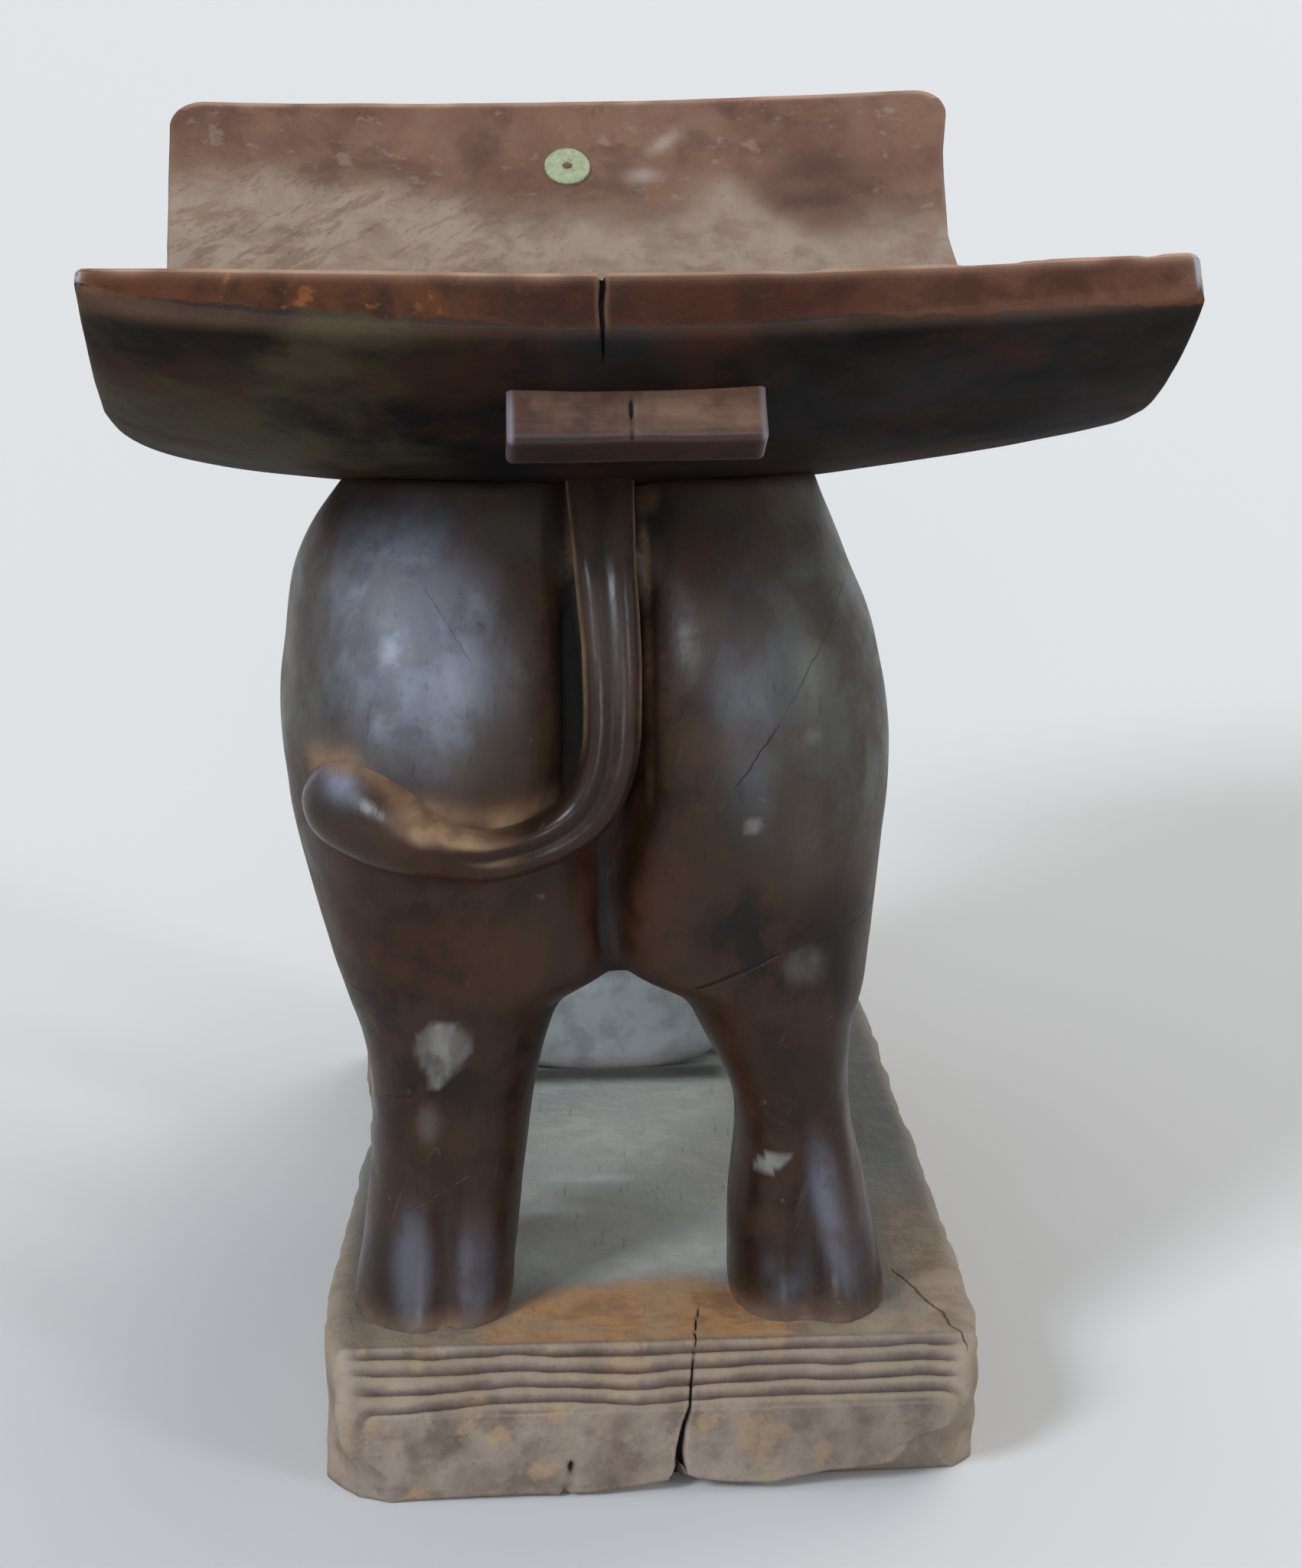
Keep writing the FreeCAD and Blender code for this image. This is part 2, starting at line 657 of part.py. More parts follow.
def leg_sections(shares, x, y, width, depth, rise):
    """Level sections of a leg, from its foot on the slab upwards."""
    for up, across, fore, wide, deep in shares:
        place = (
            f"{x} + {across} * {width}",
            f"{y} + {fore} * {depth}",
            f"dims.base_height + {up} * {rise}",
        )
        yield place, f"{wide} * {width}", f"{deep} * {depth}", ACROSS, LEVEL


def upright_sections(shares, x, back, front, z, width, depth):
    """Upright sections of the torso or the head, from the back one to the front one."""
    for fore, across, up, wide, deep in shares:
        place = (
            f"{x} + {across} * {width}",
            f"{back} + {fore} * ({front} - {back})",
            f"{z} + {up} * ({depth})",
        )
        yield place, f"{wide} * {width}", f"{deep} * ({depth})", ACROSS, UPRIGHT


def trunk_sections():
    """Down from the face, round at the foot and back along the slab to a blunt tip."""
    tip = place_of("trunk_tip_share")
    for fore, up, across, wide, deep, lean in TRUNK_SHARES:
        place = (
            f"dims.trunk_x + {across} * dims.trunk_width",
            f"{tip} + {fore} * ({place_of('trunk_root_share')} - {tip})",
            f"dims.base_height + {up} * {rise_of('trunk_root_share')}",
        )
        yield place, f"{wide} * dims.trunk_width", f"{deep} * dims.trunk_depth", ACROSS, lean


def tail_sections():
    """Down the crease between the haunches, then round to the left thigh and its rounded tuft."""
    for down, across, back, wide, deep, lean in TAIL_SHARES:
        place = (
            f"dims.tail_root_x - {across} * dims.tail_sweep",
            f"{place_of('haunch_share')} - {back} * dims.haunch_depth",
            f"{height_of('tail_root_share')} - {down} * dims.tail_drop",
        )
        yield place, f"{wide} * dims.tail_width", f"{deep} * dims.tail_depth", ALONG, lean


def make_ear_form(name, side):
    """A flap against the side of the head, round above and drooping to a lobe before the foreleg."""
    body = new_body(f"{name}_form")
    sketch = new_sketch(body, f"{name}_outline", "YZ_Plane")
    inner = f"dims.head_x + {side} * dims.ear_spread"
    sketch.setExpression("AttachmentOffset.Base.z", inner if side > 0 else f"{inner} - dims.ear_thickness")
    outline(sketch, [(
        f"{place_of('ear_share')} + {fore} * dims.ear_length",
        f"{height_of('ear_share')} + {up} * dims.ear_height",
        f"{bow} * dims.ear_height",
    ) for fore, up, bow in EAR_SHARES])
    pad = body.newObject("PartDesign::Pad", f"{name}_pad")
    pad.Profile = sketch
    pad.setExpression("Length", "dims.ear_thickness")
    body.Tip = pad
    return body


def tusk_sections(side):
    """A short tapering tusk that leaves the face downwards and turns forward."""
    for down, fore, wide, lean in TUSK_SHARES:
        place = (
            f"dims.head_x + {side} * dims.tusk_spread",
            f"{place_of('tusk_share')} + {fore} * dims.tusk_length",
            f"{height_of('tusk_share')} - {down} * dims.tusk_length",
        )
        yield place, f"{wide} * dims.tusk_width", f"{wide} * dims.tusk_width", ACROSS, lean


def make_stool():
    seat_form = make_seat_form()
    disc_form = make_disc_form()
    nail = make_nail()
    seat = carve("seat", seat_form, nail)
    carve("marker_disc", disc_form, seat_form, nail)
    keep(nail, "disc_nail")
    base = make_base()
    rear_lug = carve("rear_lug", make_lug_form("rear_lug_form", -1), seat)
    carve("front_lug", make_lug_form("front_lug_form", 1), seat)
    left_form = elliptical_member("left_hind_form", leg_sections(
        LEFT_HIND_SHARES, "dims.left_haunch_x", place_of("haunch_share"),
        "dims.left_haunch_width", "dims.haunch_depth", rise_of("hind_top_share")))
    right_form = elliptical_member("right_hind_form", leg_sections(
        RIGHT_HIND_SHARES, "dims.right_haunch_x", place_of("haunch_share"),
        "dims.right_haunch_width", "dims.haunch_depth", rise_of("hind_top_share")))
    left_hind = carve("left_hind_leg", left_form, seat)
    right_hind = carve("right_hind_leg", right_form, seat, left_hind)
    torso_form = elliptical_member("torso_form", upright_sections(
        TORSO_SHARES, "dims.torso_x", place_of("torso_back_share"), place_of("torso_front_share"),
        height_of("torso_share"), "dims.torso_width", f"{TORSO_DEPTH_SHARE} * dims.elephant_height"))
    torso = carve("body", torso_form, seat, left_hind, right_hind)
    head_form = elliptical_member("head_form", upright_sections(
        HEAD_SHARES, "dims.head_x", place_of("head_back_share"), place_of("head_front_share"),
        height_of("head_share"), "dims.head_width", f"{HEAD_DEPTH_SHARE} * dims.elephant_height"))
    head = carve("head", head_form, torso)
    trunk = carve("trunk", elliptical_member("trunk_form", trunk_sections()), head, base)
    tail_form = elliptical_member("tail_form", tail_sections())
    carve("tail", tail_form, seat, rear_lug, left_hind, right_hind, torso)
    for name, side in (("left", -1), ("right", 1)):
        fore_form = elliptical_member(f"{name}_fore_form", leg_sections(
            FORELEG_SHARES[name], f"dims.foreleg_x + {side} * dims.foreleg_spread",
            place_of("foreleg_share"), "dims.foreleg_width", "dims.foreleg_depth", rise_of("fore_top_share")))
        foreleg = carve(f"{name}_foreleg", fore_form, torso, head, trunk)
        tusk_form = elliptical_member(f"{name}_tusk_form", tusk_sections(side))
        carve(f"{name}_tusk", tusk_form, head, trunk)
        carve(f"{name}_ear", make_ear_form(f"{name}_ear", side), head, torso, foreleg)


def check_and_write():
    """Stops on any failed object or bad solid, then writes each sub-part to its own file."""
    doc.recompute()
    for one in doc.Objects:
        if "Invalid" in one.State or "Error" in one.State:
            raise ValueError(f"{one.Label} failed: {one.State}")
    for node in NODES:
        shape = node.Shape
        if shape.isNull() or not shape.isValid() or not shape.Solids:
            raise ValueError(f"{node.Label} has no valid shape")
    os.makedirs("parts", exist_ok=True)
    for node in NODES:
        node.Shape.exportStep(f"parts/{node.Label}.step")
        box = node.Shape.optimalBoundingBox(False)
        print(f"{node.Label:16}", len(node.Shape.Solids), "solid", len(node.Shape.Faces), "faces",
              [round(edge, 1) for edge in (box.XMin, box.XMax, box.YMin, box.YMax, box.ZMin, box.ZMax)])


make_stool()
check_and_write()
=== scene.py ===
"""The looks of a carved elephant stool: dark, hand-polished wood on a dry, dusty slab.

Places and sizes are read in the model's own frame. Tables of sizes are in millimetres, because a
carver thinks in them, and become metres when a mesh is made.
"""

import itertools
import math

import bpy
import numpy as np
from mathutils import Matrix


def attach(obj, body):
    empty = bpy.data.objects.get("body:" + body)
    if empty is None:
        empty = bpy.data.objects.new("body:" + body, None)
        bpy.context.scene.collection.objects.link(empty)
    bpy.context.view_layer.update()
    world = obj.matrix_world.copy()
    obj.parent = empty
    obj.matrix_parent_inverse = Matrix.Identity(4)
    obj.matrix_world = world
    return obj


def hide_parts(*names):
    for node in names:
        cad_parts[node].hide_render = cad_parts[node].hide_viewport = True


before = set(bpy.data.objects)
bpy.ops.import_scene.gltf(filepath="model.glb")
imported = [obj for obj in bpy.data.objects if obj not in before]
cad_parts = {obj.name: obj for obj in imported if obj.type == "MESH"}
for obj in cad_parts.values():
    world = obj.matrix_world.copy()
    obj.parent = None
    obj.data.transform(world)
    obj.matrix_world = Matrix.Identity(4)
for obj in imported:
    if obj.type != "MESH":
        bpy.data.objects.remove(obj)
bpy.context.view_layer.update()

MM = 0.001


# The view and the studio. The camera stands behind the elephant, a little to its left and above
# the seat, and looks down on it. The floor is a plain pale sheet that the stool throws its
# shadow on.
view = bpy.data.cameras.new("photo_view")
view.sensor_fit, view.sensor_height, view.lens = "VERTICAL", 36, 90.4
viewer = bpy.data.objects.new("photo_view", view)
viewer.location = (-0.069, -1.2675, 0.513)
viewer.rotation_euler = (math.radians(90 - 15.4), 0, math.radians(-3.9))
bpy.context.scene.collection.objects.link(viewer)
bpy.context.scene.camera = viewer
bpy.context.scene.view_settings.view_transform = "Standard"


def put(tree, kind, inputs=None, **settings):
    """Adds a node to a tree and feeds its inputs."""
    made = tree.nodes.new(kind)
    for name, setting in settings.items():
        setattr(made, name, setting)
    join(tree, made, inputs or {})
    return made


def join(tree, made, inputs):
    """Feeds a node's inputs. Each is given a plain value, a socket, or the name of a mask that is
    stored on the mesh. A colour is given without its alpha."""
    for name, given in inputs.items():
        if isinstance(given, str):
            given = put(tree, "ShaderNodeAttribute", attribute_name=given).outputs["Fac"]
        if isinstance(given, bpy.types.NodeSocket):
            tree.links.new(given, made.inputs[name])
        elif made.inputs[name].type == "RGBA":
            made.inputs[name].default_value = (*given, 1)
        else:
            made.inputs[name].default_value = given


def sums(tree, operation, first, second=None, third=None, clamp=False):
    """One Math node; gives its output."""
    inputs = {n: one for n, one in enumerate((first, second, third)) if one is not None}
    return put(tree, "ShaderNodeMath", inputs, operation=operation, use_clamp=clamp).outputs[0]


def times(tree, value, factor, plus=None, clamp=False):
    """A value times a factor, plus a third value where one is given."""
    operation = "MULTIPLY" if plus is None else "MULTIPLY_ADD"
    return sums(tree, operation, value, factor, plus, clamp)


def new_material(name):
    """An empty material, its node tree and its shader, already joined to the output."""
    material = bpy.data.materials.new(name)
    material.use_nodes = True
    tree = material.node_tree
    return material, tree, tree.nodes["Principled BSDF"]


def soft_lamp(name, toward, strength, width, colour):
    """A broad, far lamp: the direction of the lamp, its strength, and its width in degrees."""
    lamp = bpy.data.lights.new(name, "SUN")
    lamp.energy, lamp.angle, lamp.color = strength, math.radians(width), colour
    holder = bpy.data.objects.new(name, lamp)
    x, y, z = np.array(toward) / np.linalg.norm(toward)
    holder.rotation_euler = (math.acos(z), 0, math.atan2(x, -y))
    bpy.context.scene.collection.objects.link(holder)


soft_lamp("window_left", (-0.62, -0.62, 0.58), 1.9, 16, (0.80, 0.89, 1.0))
soft_lamp("window_behind", (-0.05, -0.95, 0.28), 0.65, 22, (0.86, 0.92, 1.0))
soft_lamp("window_right", (0.70, -0.60, 0.36), 0.60, 11, (0.84, 0.91, 1.0))
soft_lamp("overhead", (0.15, 0.25, 1.0), 0.8, 60, (1.0, 0.98, 0.94))
soft_lamp("far_side", (0.55, 0.75, 0.5), 0.7, 40, (1.0, 0.99, 0.96))

# The air is brighter where it is seen, straight or in a reflection, than it is as a lamp.
LIT_STRENGTH, SEEN_MORE = 0.34, 0.50
world = bpy.data.worlds.new("studio_air")
bpy.context.scene.world = world
world.use_nodes = True
air = world.node_tree
ray = put(air, "ShaderNodeLightPath").outputs
seen = sums(air, "ADD", ray["Is Camera Ray"], ray["Is Glossy Ray"])
seen = sums(air, "ADD", seen, ray["Is Transmission Ray"], clamp=True)
strength = times(air, seen, SEEN_MORE, LIT_STRENGTH)
join(air, air.nodes["Background"], {"Color": (0.88, 0.90, 0.93), "Strength": strength})

FLOOR_RADIUS, FLOOR_SIDES = 90, 96
floor_mesh = bpy.data.meshes.new("studio_floor")
turn = np.linspace(0, 2 * np.pi, FLOOR_SIDES, endpoint=False)
rim = np.stack([FLOOR_RADIUS * np.cos(turn), FLOOR_RADIUS * np.sin(turn), 0 * turn], 1)
floor_mesh.from_pydata(rim.tolist(), [], [list(range(FLOOR_SIDES))])
studio_floor = bpy.data.objects.new("studio_floor", floor_mesh)
bpy.context.scene.collection.objects.link(studio_floor)
floor_paint, tree, shader = new_material("pale_floor")
join(tree, shader, {"Base Color": (0.70, 0.70, 0.69), "Roughness": 0.85})
floor_mesh.materials.append(floor_paint)


# The seat: one curved board of the log, dished along its length like a boat and slightly across,
# thin at its long edges and thick along its middle, where the elephant's back carries it. Sitting
# has polished it red-brown. Grey dust lies in the dish, and its ends are worn bright, with
# highlights painted on their rims and tips.
SEAT_FOOT, MIDDLE_RADIUS, RISE_RADIUS = 298.0, 620.0, 321.95
MIDDLE_SWING, TIP_SWING = math.radians(7.414), math.radians(38.074)
RISE_CENTRE_Y, RISE_CENTRE_Z = 38.46, 622.44
MIDDLE_RUN = MIDDLE_RADIUS * MIDDLE_SWING
SEAT_RUN = MIDDLE_RUN + RISE_RADIUS * (TIP_SWING - MIDDLE_SWING)
SEAT_LIP, SEAT_EDGE, SEAT_BELLY, SEAT_SPLIT = 5.0, 7.0, 23.0, -12.0
HALF_WIDE, HALF_LONG = 150, 250


def block_skin(xs, ys, zs):
    """The skin of a block of lattice points: six sheets of four-cornered faces that share their
    edges and face outwards. Gives the points and the faces."""
    number = np.arange(len(xs) * len(ys) * len(zs)).reshape(len(xs), len(ys), len(zs))

    def sheet(grid):
        """The faces between the points of one sheet."""
        corners = grid[:-1, :-1], grid[1:, :-1], grid[1:, 1:], grid[:-1, 1:]
        return np.stack(corners, -1).reshape(-1, 4)

    quads = np.vstack([
        sheet(number[:, :, -1]), sheet(number[:, :, 0])[:, ::-1],
        sheet(number[:, 0, :]), sheet(number[:, -1, :])[:, ::-1],
        sheet(number[-1, :, :]), sheet(number[0, :, :])[:, ::-1],
    ])
    used, quads = np.unique(quads, return_inverse=True)
    points = np.stack(np.meshgrid(xs, ys, zs, indexing="ij"), -1).reshape(-1, 3)
    return points[used], quads.reshape(-1, 4)


def ruled(low, high, step, fine=(0, 0.7, 1.5, 2.5, 4)):
    """Places from low to high, a step apart, and closer together next to both ends."""
    fine = np.array(fine)
    middle = np.linspace(low + fine[-1], high - fine[-1], max(2, round((high - low) / step)))
    return np.concatenate([low + fine[:-1], middle, high - fine[:-1][::-1]])


def rough(points, size, seed, stretch=(1, 1, 1)):
    """Smooth random heights from -1 to 1: random values on a cubic lattice of the given spacing,
    blended along each axis by 3t^2 - 2t^3. The lattice point's three numbers, each times a large
    prime, pick its value from a table."""
    place = points / (size * np.array(stretch, float))
    cell = np.floor(place).astype(np.int64)
    share = place - cell
    share = share * share * (3 - 2 * share)
    table = np.random.default_rng(seed).uniform(-1, 1, 4096)
    total = np.zeros(len(points))
    for corner in itertools.product((0, 1), repeat=3):
        at = cell + corner
        key = (at[:, 0] * 73856093 ^ at[:, 1] * 19349663 ^ at[:, 2] * 83492791) % 4096
        total += np.prod(np.where(corner, share, 1 - share), axis=1) * table[key]
    return total


def rough_layers(points, size, seed, stretch=(1, 1, 1)):
    """Three layers of smooth random heights, each half the size and half the height of the last."""
    return sum(rough(points, size / 2 ** n, seed + n, stretch) / 2 ** n for n in range(3)) / 1.75


def ease(value, low, high):
    """0 below low, 1 above high, and 3t^2 - 2t^3 between them."""
    t = np.clip((value - low) / (high - low), 0, 1)
    return t * t * (3 - 2 * t)


def hump(value, middle, width):
    """A bell of height 1: e to the minus square of the distance in widths."""
    return np.exp(-((value - middle) / width) ** 2)


def piece_from(name, points, faces):
    """A smooth-shaded object whose mesh has these points, given in millimetres."""
    mesh = bpy.data.meshes.new(name)
    mesh.from_pydata((points * MM).tolist(), [], faces)
    mesh.shade_smooth()
    made = bpy.data.objects.new(name, mesh)
    bpy.context.scene.collection.objects.link(made)
    return made


def points_of(made):
    """The piece's points, in millimetres."""
    flat = np.empty(len(made.data.vertices) * 3)
    made.data.vertices.foreach_get("co", flat)
    return flat.reshape(-1, 3) / MM


def normals_of(made):
    """The piece's surface directions, one for each point."""
    flat = np.empty(len(made.data.vertices) * 3)
    made.data.vertex_normals.foreach_get("vector", flat)
    return flat.reshape(-1, 3)


def reshape(made, points):
    """Puts the piece's points at new places, given in millimetres."""
    made.data.vertices.foreach_set("co", (points * MM).ravel())
    made.data.update()


def evened(made, values, rounds):
    """Each point's value mixed, over and over, with the mean of its neighbours': 0.4 of its own and
    0.6 of theirs."""
    ends = np.empty(len(made.data.edges) * 2, np.int64)
    made.data.edges.foreach_get("vertices", ends)
    start, end = ends.reshape(-1, 2).T
    count = np.bincount(start, minlength=len(values)) + np.bincount(end, minlength=len(values))
    for _ in range(rounds):
        around = [np.bincount(start, one[end], len(one)) + np.bincount(end, one[start], len(one))
                  for one in np.atleast_2d(values.T)]
        values = 0.4 * values + 0.6 * (np.array(around).T / count[:, None]).reshape(values.shape)
    return values


def painted(made, **masks):
    """Stores masks of the surface, each a value from 0 to 1 at every point."""
    for name, values in masks.items():
        layer = made.data.attributes.new(name, "FLOAT", "POINT")
        layer.data.foreach_set("value", np.clip(values, 0, 1).astype(np.float32))


def hollow_and_proud(made, rounds, depth):
    """Where the surface is hollow and where it is proud: how far, along its normal, each point
    lies from the same surface evened out, as a share of a depth in millimetres."""
    points = points_of(made)
    sunk = np.einsum("ij,ij->i", evened(made, points, rounds) - points, normals_of(made)) / depth
    return np.clip(sunk, 0, 1), np.clip(-sunk, 0, 1)


def on_sweep(run, down):
    """The seat's long sweep: a flat arc in its middle and a tighter one, tangent to it, up to each
    tip. A point is a run along the sweep and a distance below it; gives its y and height."""
    reach = np.abs(run)
    middle = reach < MIDDLE_RUN
    swing = np.where(middle, reach / MIDDLE_RADIUS, MIDDLE_SWING + (reach - MIDDLE_RUN) / RISE_RADIUS)
    radius = np.where(middle, MIDDLE_RADIUS, RISE_RADIUS) + down
    y = np.sign(run) * (np.where(middle, 0, RISE_CENTRE_Y) + radius * np.sin(swing))
    return y, np.where(middle, SEAT_FOOT + MIDDLE_RADIUS, RISE_CENTRE_Z) - radius * np.cos(swing)


def seat_half_width(along, right):
    """The board's reach to one side, millimetres, where along runs from -1 to 1, tail to head."""
    if right:
        reach = 149, 149.5, 143, 138, 136.5, 141, 147
        return np.interp(along, (-1, -0.63, -0.2, 0.2, 0.63, 0.85, 1), reach)
    return np.interp(along, (-1, -0.63, -0.2, 0.3, 0.63, 1), (150, 149.5, 144, 143.5, 146.5, 148))


def worn(gap, radius):
    """How far a rounded edge falls away at a gap from it: a quarter circle."""
    return radius * (1 - np.sqrt(1 - (1 - np.clip(gap / radius, 0, 1)) ** 2))


def seat_board(lattice):
    """The board's points from a flat block: x is -1 to 1 across, y is -1 to 1 along and z is 0
    below to 1 above. Its plan has eased corners. Its section is dished above, and below it is a
    quarter of an ellipse on the left and a flatter round on the right. Its length follows the
    sweep. Also gives the depth of each point below the rim, measured over the end."""
    across, along, up = lattice.T
    corner = np.where(along > 0, np.where(across > 0, 15.0, 14.0), np.where(across > 0, 6.0, 3.5))
    side, end = np.abs(across) * HALF_WIDE, np.abs(along) * HALF_LONG
    over = np.stack([side - (HALF_WIDE - corner), end - (HALF_LONG - corner)])
    pull = np.where((over > 0).all(0), over.max(0) / np.maximum(np.hypot(*over), 1e-9), 1)
    side = np.where((over > 0).all(0), HALF_WIDE - corner + over[0] * pull, side)
    end = np.where((over > 0).all(0), HALF_LONG - corner + over[1] * pull, end)
    across, along = np.sign(across) * side / HALF_WIDE, np.sign(along) * end / HALF_LONG
    x = across * np.where(across > 0, seat_half_width(along, True), seat_half_width(along, False))
    near_right = ease(across, 0.2, 0.98) * ease(-along, 0.0, 0.95)
    near_left = ease(-across, 0.3, 1.0) * ease(-along, 0.0, 0.95)
    dish = (SEAT_LIP - 2.0 * near_left) * across ** 2
    edge = SEAT_EDGE + 8.0 * near_right + 1.0 * near_left + 1.5 * ease(along, 0.4, 1)
    keel = np.where(across < 0, np.sqrt(np.clip(1 - across ** 2, 0, 1)), 1 - across ** 2)
    top = -dish
    low = -SEAT_LIP + edge + (SEAT_BELLY + SEAT_LIP - edge) * keel
    side_gap = (1 - np.abs(lattice[:, 0])) * HALF_WIDE
    end_gap = (1 - np.abs(lattice[:, 1])) * HALF_LONG
    deepest = 0.42 * (low - top)
    high_fall = np.minimum(worn(side_gap, 1.6) + worn(end_gap, 1.8), deepest)
    low_fall = np.minimum(worn(side_gap, 1.6) + worn(end_gap, 5.0), deepest)
    down = (low - low_fall) * (1 - up) + (top + high_fall) * up
    run = along * SEAT_RUN - ease(along, 0.3, 1) * np.interp(across, (-1, 0, 1), (5.9, 2.5, 1.5))
    y, z = on_sweep(run, down)
    return np.stack([x, y, z], 1), np.where(lattice[:, 2] > 0.999, 0, down - top) + end_gap * (up < 0.5)


around_split = SEAT_SPLIT + np.linspace(-2.1, 2.1, 9)
seat_xs = np.unique(np.concatenate([ruled(-HALF_WIDE, HALF_WIDE, 2.4), around_split]))
seat_ys = ruled(-HALF_LONG, HALF_LONG, 2.4, (0, 0.5, 1.0, 1.6, 2.4, 3.6, 5))
seat_levels = (1 - np.cos(np.linspace(0, np.pi, 14))) / 2
lattice, faces = block_skin(seat_xs / HALF_WIDE, seat_ys / HALF_LONG, seat_levels)
places, rim_depth = seat_board(lattice)
seat_wood = piece_from("seat_wood", places, faces.tolist())
points, normals = points_of(seat_wood), normals_of(seat_wood)

# Tool marks all over, and then nicks and a split in the end that faces the view.
tooled = 0.5 * rough_layers(points, 38, 3) + 0.06 * rough(points, 11, 8, (1, 2, 1))
near_end = ease(-lattice[:, 1], 0.93, 0.97)
nicks = ease(rough(points, 5, 12) + rough(points, 13, 14), 0.75, 1.3) * np.exp(-(rim_depth / 2.5) ** 2)
points = points + normals * (tooled - 0.35 - 0.7 * nicks * near_end)[:, None]
split_x = SEAT_SPLIT + 0.5 * rough(points, 6, 5)
split_half = np.interp(rim_depth, (0, 8, 20, 45), (1.1, 0.8, 0.5, 0.0))
split = np.clip(1.2 - np.abs(points[:, 0] - split_x) / np.maximum(split_half, 0.05), 0, 1)
split = split * ease(-lattice[:, 1], 0.955, 0.985) * (rim_depth < 40)
points = points - normals * (split * 2.2)[:, None]
reshape(seat_wood, points)
x, y, z = points.T

# Where the finish changes: a worn band along each end with a bright rim, worn and with a painted
# highlight, a painted highlight on the tips, dust up to a wavy line on each rise and unevenly in
# the dish, one dark stain and two chalk marks.
hollow, proud = hollow_and_proud(seat_wood, 12, 0.5)
above = (lattice[:, 2] > 0.999).astype(float)
band_depth = np.interp(x, (-150, -120, -60, 0, 60, 110, 150), (9, 11, 15, 17, 15, 16, 20))
band = ease(band_depth + 3 - rim_depth, 0, 6) * (1 - above) * ease(np.abs(lattice[:, 1]), 0.9, 0.93)
# The rim: worn wood with a painted highlight. The tips: a painted highlight on the side edges.
rim = np.exp(-(rim_depth / 2.6) ** 2) * ease(np.abs(lattice[:, 1]), 0.984, 0.991)
rim *= 0.65 + 0.5 * rough(points, 9, 19)
tips = ease(np.abs(lattice[:, 0]), 0.980, 0.994) * ease(-y, 222, 232) * ease(-rim_depth, -14, -8)
tips = np.where(x < 0, tips * ease(-rim_depth, -7, -3), tips)
dust_line = np.interp(x, (-145, -110, -60, -30, 30, 60, 90, 130),
                      (345, 346, 339, 332, 331, 341, 325, 331))
dust = ease(dust_line + 5 * rough_layers(points, 22, 17) - z, -7, 7) * above
on_rise = ease(np.abs(y), 90, 165)
dust = on_rise * dust + (1 - on_rise) * (0.50 + 0.35 * rough_layers(points, 40, 18)) * above
stain_spread = ((x - 92) / 23) ** 2 + ((z - 339) / 12) ** 2
stain = (0.75 + 0.5 * rough(points, 12, 20)) * np.exp(-stain_spread ** 2) * (y > 0) * above
chalk = np.exp(-(((x - 36.8) / 6) ** 2 + ((z - 353 - 0.5 * (x - 36.8)) / 2.4) ** 2))
chalk = (chalk + np.exp(-(((x - 27.8) / 6) ** 2 + ((z - 342.5) / 2.2) ** 2))) * (y > 0) * above
proud = proud * ease(-rim_depth, -23, -14)
painted(seat_wood, hollow=hollow, proud=proud, above=above, band=band, rim=rim, split=split,
        dust=dust, stain=stain, chalk=chalk, tips=tips)


# The finishes that all the wood shares: pores and streaks along the log, blotches of hand grease
# and smoke, dust that settles in hollows, and bright worn edges.
def new_group(name, inputs, outputs):
    """A shader node group: inputs and outputs are pairs of a name and a kind, and an input may
    have its usual value. Gives the group, its input sockets and its output node."""
    group = bpy.data.node_groups.new(name, "ShaderNodeTree")
    for way, pairs in (("INPUT", inputs), ("OUTPUT", outputs)):
        for title, kind, *preset in pairs:
            socket = group.interface.new_socket(title, in_out=way, socket_type="NodeSocket" + kind)
            if preset:
                socket.default_value = preset[0]
    return group, put(group, "NodeGroupInput").outputs, put(group, "NodeGroupOutput")


def shade(tree, mask, below, above):
    """Two colours mixed by a mask; gives the colour output."""
    inputs = {0: mask, 6: below, 7: above}
    return put(tree, "ShaderNodeMix", inputs, data_type="RGBA").outputs[2]


def layer(tree, colour, tint, mask, share=None):
    """A colour with a tint laid over it where a mask is, thinned to a share if one is given."""
    return shade(tree, mask if share is None else times(tree, mask, share), colour, tint)


def between(tree, value, low, high):
    """0 below low and 1 above high, smoothly; gives the mask output."""
    inputs = {"Value": value, "From Min": low, "From Max": high}
    return put(tree, "ShaderNodeMapRange", inputs, interpolation_type="SMOOTHSTEP").outputs[0]


def object_place(tree):
    """The place of each point in the piece's own frame."""
    return put(tree, "ShaderNodeTexCoord").outputs["Object"]


def object_axis(tree, axis):
    """One coordinate of that place."""
    return put(tree, "ShaderNodeSeparateXYZ", {0: object_place(tree)}).outputs[axis]


def vectors(tree, operation, *inputs):
    """One Vector Math node; gives its outputs."""
    return put(tree, "ShaderNodeVectorMath", dict(enumerate(inputs)), operation=operation).outputs


def noise(tree, place, scale, detail, roughness, more=None, **settings):
    """One Noise Texture; gives its value."""
    inputs = {"Vector": place, "Scale": scale, "Detail": detail, "Roughness": roughness}
    return put(tree, "ShaderNodeTexNoise", {**inputs, **(more or {})}, **settings).outputs["Fac"]


